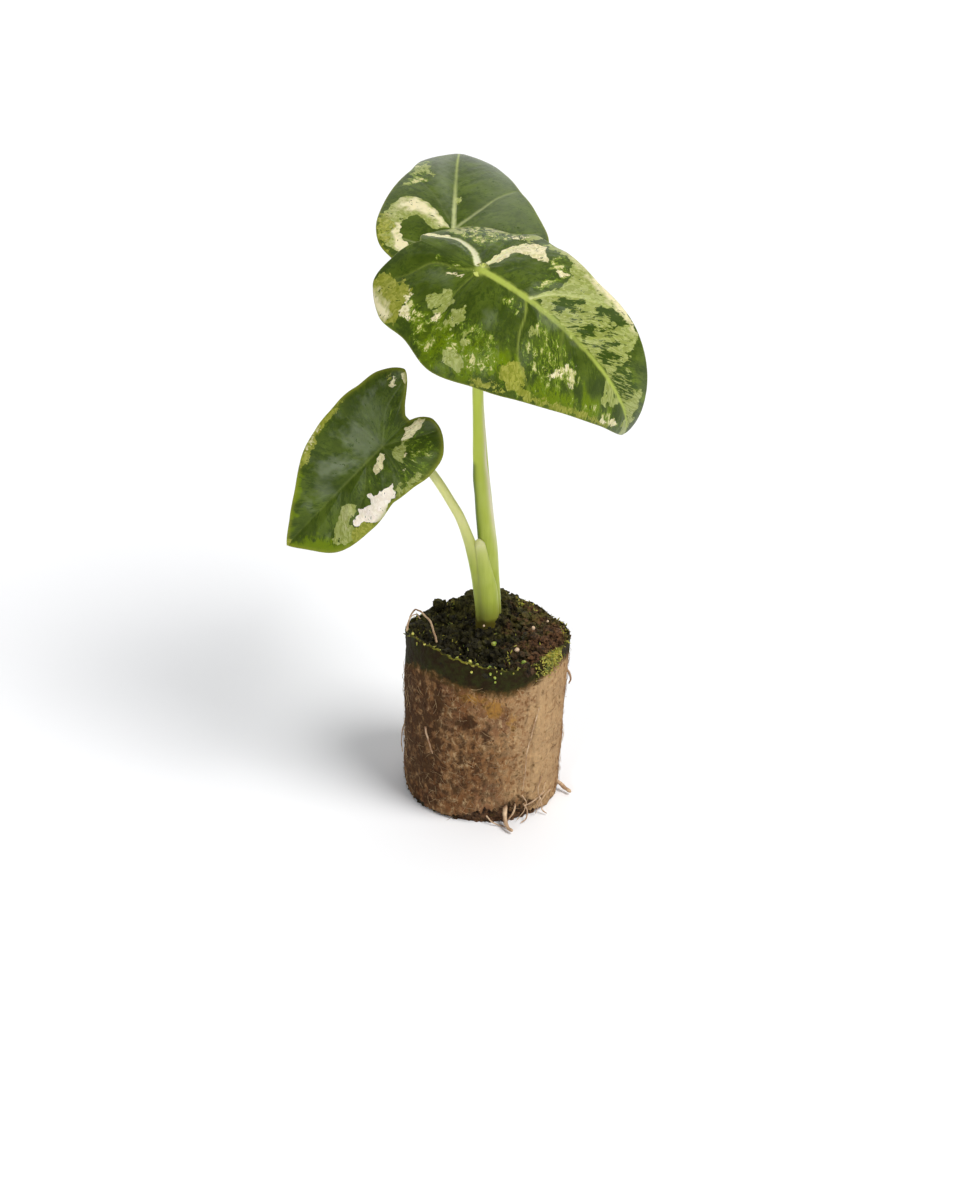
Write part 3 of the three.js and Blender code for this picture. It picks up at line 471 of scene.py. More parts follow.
size = add(crumb_tree, "ShaderNodeMapRange", {0: draw, 3: 0.45, 4: 1.9})
flat = add(crumb_tree, "ShaderNodeMath", {0: size, 1: given["Flatness"]}, operation="MULTIPLY")
size = add(crumb_tree, "ShaderNodeCombineXYZ", {0: size, 1: size, 2: flat})
spin = add(crumb_tree, "FunctionNodeRandomValue", {0: (-0.7, -0.7, 0), 1: (0.7, 0.7, 6.28),
                                                   "Seed": given["Seed"]},
           data_type="FLOAT_VECTOR")
scattered(crumb_tree, given, {"Points": spots, "Instance": grain, "Rotation": spin, "Scale": size}, 1300.0, 1)

for name, (where, radius, per_mm2, roughness, flatness, fineness, seed) in CRUMBS.items():
    grown(name, soil, crumb_tree, {
        "Where": where, "Radius": radius * MM, "Per square metre": per_mm2 * 1e6,
        "Roughness": roughness * MM, "Flatness": flatness, "Fineness": fineness, "Seed": seed,
        "Material": peat}, peat)

# ---- Corm and roots ----
# The starchy corm under the crown, and fleshy cream roots that run down through the peat, out
# through the paper and along the bench. Dry root ends also lie on the soil and hang from the foot.
ROOTS = [
    [(1.5, -1, 28), (5, -6, 21), (6, -12, 10), (5.5, -15.5, 3.2), (5.8, -18.6, 1.3), (7.2, -20.6, 0.8)],
    [(-1, 0, 27), (-6, -4, 20), (-9, -8, 11), (-8, -6, 4), (-4, -3, 2.5)],
    [(2.5, 3, 28), (8, 2, 22), (11, 1, 12), (13.8, -1, 4.5), (17.6, -2.6, 1.5), (19.6, -4.2, 0.8)],
    [(0, 5, 27), (1, 9, 19), (-2, 12, 11), (-5, 9, 4)],
    [(-2, 3, 28), (-8, 5, 23), (-12, 4, 15), (-12.5, -1, 8)],
    [(0.5, 2, 25.5), (1.5, 1, 15), (0, 3, 7), (3, 5, 2.6)],
]
# How thick each of them is, in radius, at its start and at its end.
ROOT_RADII = (0.6, 0.4)
# Loose ends: the path, then the radius at its start and at its end.
LOOSE_ROOTS = [
    ([(-16.9, -1.4, 37.2), (-16.6, 1.6, 38.3), (-15.7, 3.9, 39.3), (-14.6, 2.7, 39.8), (-13.3, 1.1, 39.5),
      (-12.2, 0.2, 38.7), (-11.6, -1.2, 37.9), (-11.0, -2.9, 36.8), (-10.6, -4.0, 36.0)], 0.17, 0.26),
    ([(-17.1, -2.0, 37.2), (-16.9, 0.2, 37.9), (-16.2, 2.2, 38.6), (-15.2, 2.6, 38.9), (-14.3, 1.4, 38.5)],
     0.10, 0.14),
    ([(-12.1, -12.9, 20.9), (-11.6, -13.4, 18.9), (-10.9, -14.1, 17.0), (-10.3, -14.7, 15.4)], 0.22, 0.14),
    ([(5.0, -15.4, 2.4), (5.6, -16.6, 1.6), (5.9, -17.9, 0.7), (6.4, -19.0, 0.35)], 0.24, 0.12),
    ([(7.6, -14.6, 4.2), (7.3, -15.9, 2.8), (6.4, -16.9, 1.5), (5.2, -17.4, 0.5)], 0.22, 0.14),
    ([(9.2, -13.8, 3.6), (10.2, -14.4, 2.2), (10.0, -15.2, 0.9), (8.9, -16.4, 0.3)], 0.20, 0.10),
    ([(12.4, -11.2, 4.4), (13.1, -11.6, 2.8), (13.4, -12.0, 1.2), (14.4, -12.4, 0.4)], 0.24, 0.12),
    ([(1.6, -16.4, 1.8), (2.6, -17.2, 1.0), (4.2, -17.6, 0.4), (6.2, -18.0, 0.25)], 0.18, 0.10),
    ([(12.9, -11.9, 9.5), (12.2, -12.7, 7.0), (12.6, -12.6, 4.0), (11.6, -13.2, 1.2)], 0.14, 0.08),
    ([(13.8, -10.9, 7.2), (13.2, -11.7, 5.2), (11.9, -13.0, 4.4), (10.4, -13.9, 3.2)], 0.10, 0.06),
    ([(14.9, -9.3, 4.6), (13.8, -10.9, 4.0), (12.6, -12.4, 2.4), (12.0, -13.0, 0.6)], 0.12, 0.07),
    ([(8.8, -14.9, 6.4), (9.9, -14.4, 4.2), (9.4, -14.8, 2.2), (8.0, -15.8, 0.5)], 0.13, 0.07),
    ([(17.0, -1.2, 29.6), (17.6, -2.0, 29.2), (17.9, -2.4, 28.0), (17.6, -2.6, 26.9)], 0.30, 0.16),
    ([(11.4, -13.3, 27.1), (10.4, -14.1, 22), (9.4, -14.8, 16.9), (9.3, -14.6, 12), (8.9, -14.7, 7.1)], 0.13,
     0.08),
    ([(9.4, -14.7, 3.6), (11.6, -13.1, 4.0), (13.9, -10.7, 5.2)], 0.15, 0.08),
    ([(-16.8, 3, 12), (-17.4, 1.6, 10.4), (-17.3, 0.5, 8.2), (-17.0, -0.6, 6.6)], 0.16, 0.10),
]


def smooth_path(stations, places):
    """Points at places along a curve through the stations, without loops at close stations."""
    stations = np.asarray(stations, float)
    ends = 2 * stations[[0, -1]] - stations[[1, -2]]
    padded = np.concatenate([ends[:1], stations, ends[1:]])
    index = np.clip(np.floor(places).astype(int), 0, len(stations) - 2)
    share = (places - index)[:, None]
    a, b, c, d = (padded[index + k] for k in range(4))
    ab, bc, cd = (np.sqrt(np.linalg.norm(q - p, axis=1, keepdims=True))
                  for p, q in ((a, b), (b, c), (c, d)))
    leave = ((b - a) / ab - (c - a) / (ab + bc) + (c - b) / bc) * bc
    arrive = ((c - b) / bc - (d - b) / (bc + cd) + (d - c) / cd) * bc
    cubic = 2 * b - 2 * c + leave + arrive
    square = -3 * b + 3 * c - 2 * leave - arrive
    return b + share * (leave + share * (square + share * cubic))


def tube(path, widths, depths, sides):
    """Rings round a path and the faces that close them into a solid, capped at both ends."""
    ahead = np.gradient(path, axis=0)
    ahead /= np.linalg.norm(ahead, axis=1, keepdims=True)
    across = np.cross([0.0, 1.0, 0.0], ahead)
    across /= np.linalg.norm(across, axis=1, keepdims=True)
    back = np.cross(ahead, across)
    around = 2 * np.pi * np.arange(sides) / sides
    rings = (path[:, None] + across[:, None] * (widths * np.cos(around))[..., None]
             + back[:, None] * (depths * np.sin(around))[..., None])
    faces = ring_faces(len(path), sides, False)
    base, tip = len(path) * sides, len(path) * sides + 1
    last = base - sides
    for side in range(sides):
        ahead_side = (side + 1) % sides
        faces += [[ahead_side, side, base], [last + side, last + ahead_side, tip]]
    return rings, faces, np.array([rings[0].mean(0), rings[-1].mean(0)])


def joined(parts):
    """Several solids' points and faces as one list of each."""
    points, faces = [], []
    for some_points, some_faces in parts:
        offset = sum(len(p) for p in points)
        faces += [[corner + offset for corner in face] for face in some_faces]
        points.append(some_points)
    return np.concatenate(points), faces


def root_tube(stations, start, end, seed, sides=9, steps=64):
    places = np.linspace(0, len(stations) - 1, steps)
    path = smooth_path(stations, places)
    path = path + 0.05 * np.stack([ripples(path, 1.7, seed + k) for k in range(3)], -1)
    knots = 1 + 0.10 * ripples(path, 1.3, seed + 5)
    radius = (start + (end - start) * places / places[-1]) * knots
    radius = radius * np.sqrt(np.clip((places[-1] - places) / 0.15, 0.04, 1))
    path[:, 2] = np.maximum(path[:, 2], radius)
    rings, faces, caps = tube(path, radius[:, None], radius[:, None], sides)
    return np.maximum(np.concatenate([rings.reshape(-1, 3), caps]), [-np.inf, -np.inf, 0]), faces


# Root skin: corky cream outside a white core, tan where it has dried. Satin and finely wrinkled.
root_skin, tree, shader = surface("root_skin")
place = add(tree, "ShaderNodeTexCoord", out="Object")
tone = add(tree, "ShaderNodeTexNoise", {0: place, "Scale": 420, "Detail": 4, "Roughness": 0.65})
tone = add(tree, "ShaderNodeMapRange", {0: tone, 1: 0.35, 2: 0.68})
skin = add(tree, "ShaderNodeMix", {0: tone, 6: linear("#8a6647"), 7: linear("#d9bd9a")}, 2, data_type="RGBA")
wrinkles = add(tree, "ShaderNodeTexNoise", {0: place, "Scale": 2600, "Detail": 2})
wrinkles = add(tree, "ShaderNodeBump", {"Height": wrinkles, "Strength": 0.5, "Distance": 0.06 * MM})
fill(shader, {"Base Color": skin, "Normal": wrinkles, "Roughness": 0.6})

CORM = {"radius": 3.5, "top": 33.0, "bottom": 24.5, "x": 0.2, "y": 2.55}
up = np.linspace(-1, 1, 40)
corm_path = np.stack([np.full(len(up), CORM["x"]), np.full(len(up), CORM["y"]),
                      (CORM["top"] + CORM["bottom"]) / 2 + up * (CORM["top"] - CORM["bottom"]) / 2], -1)
girth = CORM["radius"] * np.sqrt(np.clip(1 - (up * 0.93) ** 2, 0, 1)) * (1 + 0.02 * np.sin(up * 22))
rings, faces, caps = tube(corm_path, girth[:, None], girth[:, None], 36)
root_parts = [(np.concatenate([rings.reshape(-1, 3), caps]), faces)]
root_parts += [root_tube(stations, *ROOT_RADII, 40 + 9 * i) for i, stations in enumerate(ROOTS)]
roots = piece("corm_with_roots", *joined(root_parts), root_skin, "root")
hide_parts("corm_and_roots")
loose_parts = [root_tube(path, start, end, 200 + 9 * i, 7, 40)
               for i, (path, start, end) in enumerate(LOOSE_ROOTS)]
piece("loose_root_ends", *joined(loose_parts), root_skin, "root")

# ---- Petioles ----
# Three fleshy leaf stalks. Each widens below into a sheath that clasps the younger stalk inside it;
# the lowest leaf's sheath ends in a free round tip. Stations are x, y, z, half width, half depth.
PETIOLES = {
    "front": [
        (0.65, 3.1, 30, 2.3, 1.9), (0.5, 3.0, 38, 2.25, 1.85), (-0.05, 2.5, 47.6, 2.05, 1.75),
        (-1.3, 1.8, 59.3, 1.9, 1.6), (-2.2, 1.3, 66.5, 1.78, 1.5), (-2.9, 0.9, 72.1, 1.68, 1.4),
        (-3.4, 0.6, 76.5, 1.42, 1.3), (-3.75, 0.2, 82.7, 1.3, 1.25), (-4.4, -0.7, 91.7, 1.12, 1.12),
        (-4.8, -1.8, 104, 1.08, 1.08), (-4.9, -2.9, 118.4, 1.15, 1.15), (-4.9, -3.1, 121, 1.2, 1.2)],
    "back": [
        (0.7, 4.2, 30, 1.75, 1.4), (0.6, 4.2, 41, 1.7, 1.35), (-0.1, 4.2, 53, 1.5, 1.25),
        (-1.1, 4.2, 61, 1.35, 1.15), (-2.4, 4.5, 70, 1.3, 1.1), (-3.1, 5.0, 76.8, 1.15, 1.1),
        (-3.8, 5.8, 83.3, 1.05, 1.05), (-4.5, 7.0, 89.5, 1.0, 1.0), (-6.3, 9.6, 99.3, 1.0, 1.0),
        (-8.4, 12.9, 107.5, 1.0, 1.0), (-10.4, 16.0, 114.6, 1.05, 1.05), (-11.1, 17.2, 117.5, 1.1, 1.1)],
    "left": [
        (-0.3, 1.5, 30, 2.35, 2.2), (-0.35, 1.5, 38.7, 2.3, 2.15), (-1.15, 1.4, 44.5, 2.1, 1.95),
        (-2.5, 1.2, 50.5, 1.75, 1.6), (-3.9, 0.9, 55.3, 1.4, 1.3), (-5.0, 0.6, 58.7, 1.15, 1.1),
        (-7.0, -0.3, 64.2, 1.02, 1.0), (-8.6, -0.8, 67.2, 0.98, 0.98), (-11.9, -1.7, 73, 0.95, 0.95),
        (-15.0, -2.6, 77.3, 0.95, 0.95), (-19.2, -3.7, 81, 1.0, 1.0), (-23.2, -5.9, 83.6, 1.0, 1.0)],
}
SHEATH_WING = [
    (-0.1, 1.6, 30, 2.5, 2.25), (-0.15, 1.5, 38.7, 2.45, 2.2), (-0.75, 1.25, 46, 2.35, 2.05),
    (-1.65, 1.05, 51.5, 1.95, 1.75), (-2.3, 0.8, 55.5, 1.5, 1.4), (-2.6, 0.65, 57.4, 1.25, 1.15),
    (-2.8, 0.6, 58.7, 1.05, 1.0)]
STALK = {"sides": 64, "steps": 220, "foot": 33.6}


def smooth_through(xs, ys):
    """A curve through (xs, ys) that never overshoots between them, as a function of x."""
    xs, ys = np.asarray(xs, float), np.asarray(ys, float)
    slopes = np.diff(ys) / np.diff(xs)
    before, after = slopes[:-1], slopes[1:]
    with np.errstate(divide="ignore", invalid="ignore"):
        inner = np.where(before * after <= 0, 0, 2 * before * after / (before + after))
    tangents = np.concatenate([slopes[:1], inner, slopes[-1:]])

    def value(x):
        x = np.asarray(x, float)
        i = np.clip(np.searchsorted(xs, x, "left") - 1, 0, len(xs) - 2)
        span, rise = xs[i + 1] - xs[i], ys[i + 1] - ys[i]
        t = (x - xs[i]) / span
        c = 3 * rise - span * (2 * tangents[i] + tangents[i + 1])
        d = span * (tangents[i] + tangents[i + 1]) - 2 * rise
        return ys[i] + t * (span * tangents[i] + t * (c + t * d))
    return value


def blade_axes(heading, rise, bank):
    """A blade's directions at its joint: to its right, to its tip, and out of its upper face."""
    heading, rise, bank = np.radians([heading, rise, bank])
    tip = np.array([np.cos(rise) * np.cos(heading), np.cos(rise) * np.sin(heading), np.sin(rise)])
    level = np.array([np.sin(heading), -np.cos(heading), 0])
    right = level * np.cos(bank) + np.cross(level, tip) * np.sin(bank)
    return right, tip, np.cross(right, tip)


# Where each blade sits on its stalk: the joint, then heading, rise and bank in degrees.
JOINTS = {
    "front": ((-4.9, -3.0, 119.9), (-36.5, -9.1, -29.0)),
    "back": ((-10.9, 17.0, 116.3), (91.5, 27.5, 0.8)),
    "left": ((-23.1, -6.0, 81.9), (-171.9, -48.4, 54.2)),
}


def stalk(stations, joint=None, face=None):
    """A stalk's points and faces, with its height and its turn round the stalk at each point."""
    places = np.linspace(0, len(stations) - 1, STALK["steps"])
    path = smooth_path([s[:3] for s in stations], places)
    before, after = 2 * path[0] - path[12:0:-1], 2 * path[-1] - path[-2:-14:-1]
    longer = np.concatenate([before, path, after])
    path = np.stack([np.convolve(axis, np.hanning(27)[1:-1] / 13, "valid") for axis in longer.T], -1)
    knots = np.arange(len(stations))
    widths = smooth_through(knots, [s[3] for s in stations])(places)
    depths = smooth_through(knots, [s[4] for s in stations])(places)
    if joint is None:
        rounded = np.sqrt(np.clip((places[-1] - places) / 0.7, 0.01, 1))
        widths, depths = widths * rounded, depths * rounded
    kept = path[:, 2] > STALK["foot"]
    path, widths, depths = path[kept], widths[kept], depths[kept]
    if joint is not None:
        near = np.linalg.norm(path - joint, axis=1)
        widths, depths = (w * (1 + 0.30 * np.exp(-(near / 2.2) ** 2)) for w in (widths, depths))
    around = 2 * np.pi * np.arange(STALK["sides"]) / STALK["sides"]
    ribs = 1 + 0.003 * np.sin(17 * around) + 0.002 * np.sin(29 * around + 1)
    nodes = 1 + 0.012 * ripples(path, 6.0, 71)
    rings, faces, caps = tube(path, widths[:, None] * ribs * nodes[:, None],
                              depths[:, None] * ribs * nodes[:, None], STALK["sides"])
    points = np.concatenate([rings.reshape(-1, 3), caps])
    if joint is not None:
        above = (points - joint) @ face + 0.05
        points = points - np.clip(above, 0, None)[:, None] * face
    height = points[:, 2]
    turned = np.concatenate([np.tile(np.degrees(around), len(path)), [0, 0]])
    return points, faces, height, (turned + 180) % 360 - 180


def bell(values, centre, spread):
    return np.exp(-(((values - centre + 180) % 360 - 180) / spread) ** 2)


# Petiole flesh: watery, translucent lime-green under a waxy skin, streaked lengthways. The sheath's
# thin margin is colourless, and on the right side, which faces the light, it is painted paler as a
# highlight; its fold is darker, and the foot is stained by the soil.
petiole_flesh, tree, shader = surface("petiole_flesh")
place = add(tree, "ShaderNodeTexCoord", out="Object")
in_mm = add(tree, "ShaderNodeVectorMath", {0: place, 3: 1000.0}, operation="SCALE")
along = add(tree, "ShaderNodeVectorMath", {0: in_mm, 1: (1, 1, 0.05)}, operation="MULTIPLY")
streaks = add(tree, "ShaderNodeTexNoise", {0: along, "Scale": 1.4, "Detail": 3, "Roughness": 0.6})
streak = add(tree, "ShaderNodeMapRange", {0: streaks, 1: 0.3, 2: 0.7})
blotches = add(tree, "ShaderNodeTexNoise", {0: in_mm, "Scale": 0.16, "Detail": 3})
blotches = add(tree, "ShaderNodeMapRange", {0: blotches, 1: 0.4, 2: 0.62})
flesh = add(tree, "ShaderNodeMix", {0: streak, 6: linear("#99a838"), 7: linear("#adb94a")}, 2,
            data_type="RGBA")
# Higher up, the flesh is painted a lighter yellow-green: painted light that lifts the shade the leaves cast
# on the upper stalks.
high = add(tree, "ShaderNodeSeparateXYZ", {0: in_mm}, 2)
high = add(tree, "ShaderNodeMapRange", {0: high, 1: 55.0, 2: 84.0, 4: 0.85})
flesh = add(tree, "ShaderNodeMix", {0: high, 6: flesh, 7: linear("#c2d04c")}, 2, data_type="RGBA")
blotch = add(tree, "ShaderNodeMath", {0: blotches, 1: 0.2}, operation="MULTIPLY")
flesh = add(tree, "ShaderNodeMix", {0: blotch, 6: flesh, 7: linear("#c2cb78")}, 2, data_type="RGBA")
for field, tint in (("pallor", "#dedd9a"), ("margin", "#ece2cc"), ("fold", "#516804"),
                    ("stained", "#554a14")):
    share = add(tree, "ShaderNodeAttribute", attribute_name=field, out="Fac")
    flesh = add(tree, "ShaderNodeMix", {0: share, 6: flesh, 7: linear(tint)}, 2, data_type="RGBA")
skin = add(tree, "ShaderNodeBump", {"Height": streaks, "Strength": 0.15, "Distance": 0.05 * MM})
fill(shader, {"Base Color": flesh, "Normal": skin, "Roughness": 0.38, "IOR": 1.4,
              "Subsurface Weight": 0.45, "Subsurface Radius": (1.0, 1.0, 0.35),
              "Subsurface Scale": 1.1 * MM})

for leaf_name, stations in PETIOLES.items():
    joint, angles = JOINTS[leaf_name]
    face = blade_axes(*angles)[2]
    parts = [stalk(stations, np.array(joint), face)]
    if leaf_name == "left":
        parts.append(stalk(SHEATH_WING))
    points, faces = joined([part[:2] for part in parts])
    height = np.concatenate([part[2] for part in parts])
    turned = np.concatenate([part[3] for part in parts])
    buried = np.clip(40.6 + 0.3 * ripples(points, 1.5, 72) - height, 0, 1)
    soiled = 0.4 * np.clip((44.8 - height) / 4, 0, 1) + 0.55 * buried
    if leaf_name == "front":
        # The pale stripe on the right of the front stalk is its colourless sheath margin, and also a painted
        # highlight where the light from the right catches it.
        margin = 0.75 * bell(turned, -22, 26) * np.clip((93 - height) / 8, 0, 1)
        margin *= np.clip((height - 55) / 10, 0, 1)
        fold = 0.95 * bell(turned, -158, 36) * np.clip((77 - height) / 1.2, 0, 1)
        fold *= np.clip((height - 44) / 6, 0, 1)
        # The top of the front stalk is painted paler still, a painted light under the leaf.
        pallor = 0.25 * np.clip((height - 100) / 20, 0, 1)
    elif leaf_name == "left":
        margin = 0.3 * np.exp(-((height - 58.2) / 1.6) ** 2) * (np.arange(len(height)) >= len(parts[0][0]))
        fold = np.zeros(len(height))
        pallor = np.clip((height - 52) / 14, 0.02, 0.8)
    else:
        margin, fold = np.zeros(len(height)), np.zeros(len(height))
        pallor = np.full(len(height), 0.2)
    stalk_piece = piece(f"stalk_{leaf_name}", points, faces, petiole_flesh,
                        "stalk_pale" if leaf_name == "left" else "stalk",
                        {"margin": margin, "fold": fold, "pallor": pallor, "stained": soiled})
    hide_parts(f"petiole_{leaf_name}")

# ---- Leaf blades ----
# Thick, velvety arrowhead leaves, quilted between sunken veins and variegated in sectors: some
# tissue has no green in it. Each hangs from its joint with the midrib arched and both halves curled.
# x runs right of the midrib and y from the joint to the tip, in millimetres along the leaf.
MARGIN_ANGLES = [0, 8, 20, 38, 60, 85, 110, 132, 150, 164, 173, 180]
LEAVES = {
    "front": {
        "droop": (0.02404, 0.00024), "lobe_droop": 0.011, "sweep": -0.001, "wave": (0.45, 9, 0.6),
        "right": {"lift": (-0.223, -0.081), "curl": (-0.0148, -0.0007),
                  "reach": [54.7, 44.0, 35.3, 28.2, 23.9, 22.3, 20.6, 23.2, 24.1, 20.5, 18.3, 16.1]},
        "left": {"lift": (-0.327, 0.513), "curl": (-0.0152, -0.0078),
                 "reach": [54.7, 44.8, 34.8, 24.0, 19.7, 19.4, 21.2, 24.0, 21.5, 18.6, 18.0, 16.1]},
        "midrib": (0.66, 1.0), "quilt": 0.62, "shoulder": 2.3, "pucker": 0.8, "edging": 0.2, "rib_tone": 0.0,
        "veins": [
            (0.16, 0.30, [(0, 0), (5.5, -1.6), (11.8, -2.2), (18.6, -1.1)]),
            (0.20, 0.60, [(0, 11), (2.5, 13), (7, 15), (11, 18.8), (13.9, 26.3)]),
            (0.15, 0.40, [(0, 20.4), (3.6, 23.1), (6.9, 28.4), (8.2, 35.3)]),
            (0.13, 0.35, [(0, 33.5), (2.6, 38), (3.4, 43)]),
            (0.42, 1.75, [(-1, -0.2), (-5, -0.15), (-9.5, -0.5), (-13.6, -0.1)]),
            (0.30, 1.40, [(-0.4, 11.8), (-4.3, 14.4), (-8.6, 19.9), (-11, 25)]),
            (0.15, 0.50, [(0, 23.8), (-5.1, 28), (-10, 32.7)]),
            (0.20, 0.40, [(0, 0), (1.9, -4.1), (3.1, -10), (7.5, -14), (10.5, -18.5)]),
            (0.74, 1.9, [(-0.9, -1.6), (-3, -3.9), (-4.5, -6.6), (-5.6, -9.8), (-5.9, -12), (-5, -14.2),
                (-3.6, -16.4), (-3.1, -17.8)])]},
    "back": {
        "droop": (0.0118, 0.00019), "lobe_droop": 0.0097, "sweep": 0.0009, "wave": (0.3, 8, 2.1),
        "right": {"lift": (0.032, -0.342), "curl": (-0.0050, -0.0004),
                  "reach": [46.1, 40.2, 31.2, 23.4, 20.5, 19.5, 18.6, 18.6, 19.0, 17.0, 13.5, 10.8]},
        "left": {"lift": (0.056, -0.266), "curl": (-0.0088, -0.0003),
                 "reach": [46.1, 42.3, 29.3, 22.2, 18.0, 15.3, 12.8, 16.5, 18.5, 17.0, 13.5, 10.8]},
        "midrib": (0.44, 0.9), "quilt": 0.5, "shoulder": 3.2, "pucker": 0.25, "edging": 0.3, "rib_tone": 1.0,
        "veins": [
            (0.32, 0.50, [(0.6, 5.2), (5.4, 11), (9, 16.2), (12.6, 20.2)]),
            (0.20, 0.50, [(0, 0), (8, 1), (17, 5)]),
            (0.14, 0.12, [(0, 5), (-4.4, 15.9), (-8, 23)]),
            (0.22, 0.50, [(0, 0), (-7, 0.5), (-13, 3)]),
            (0.3, 0.55, [(0, 0), (3.2, -5), (6.5, -11), (8.5, -15)]),
            (0.3, 0.55, [(0, 0), (-3.2, -5), (-6.5, -11), (-8.5, -15)])]},
    "left": {
        "droop": (0.0042, 0), "lobe_droop": 0.0061, "sweep": 0.0001, "wave": (0.35, 7, 1.2),
        "right": {"lift": (0.179, 0.065), "curl": (-0.0035, 0.0001),
                  "reach": [29.7, 24.9, 20.3, 16.9, 14.0, 12.8, 13.1, 15.3, 16.4, 9.7, 8.0, 7.9]},
        "left": {"lift": (0.062, -0.164), "curl": (-0.0146, -0.0001),
                 "reach": [29.7, 27.1, 24.2, 16.9, 11.3, 10.5, 11.8, 13.2, 13.0, 12.2, 10.3, 7.9]},
        "midrib": (0.3, 0.16), "quilt": 1.1, "shoulder": 2.8, "pucker": 0.5, "edging": 0.6, "rib_tone": 0.2,
        "veins": [
            (0.12, 0.04, [(0, 0), (5, 0.2), (9.5, 1)]),
            (0.12, 0.05, [(0, 3), (3.2, 7.8), (6.1, 9.9), (9, 12)]),
            (0.12, 0.04, [(0, 12.7), (2.4, 15.3), (5.8, 18.8)]),
            (0.12, 0.10, [(0, 4.5), (-3.8, 8.7), (-5.8, 12.4)]),
            (0.12, 0.08, [(0, 12), (-3.5, 16.5), (-5, 20)]),
            (0.12, 0.12, [(0, 0), (-5, 0.6), (-9, 2.4)]),
            (0.14, 0.10, [(0, 0), (2.3, -2.9), (4.8, -6), (6.4, -12)]),
            (0.14, 0.12, [(0, 0), (-2.1, -4.3), (-3.8, -7.2), (-5.5, -10.5)])]},
}

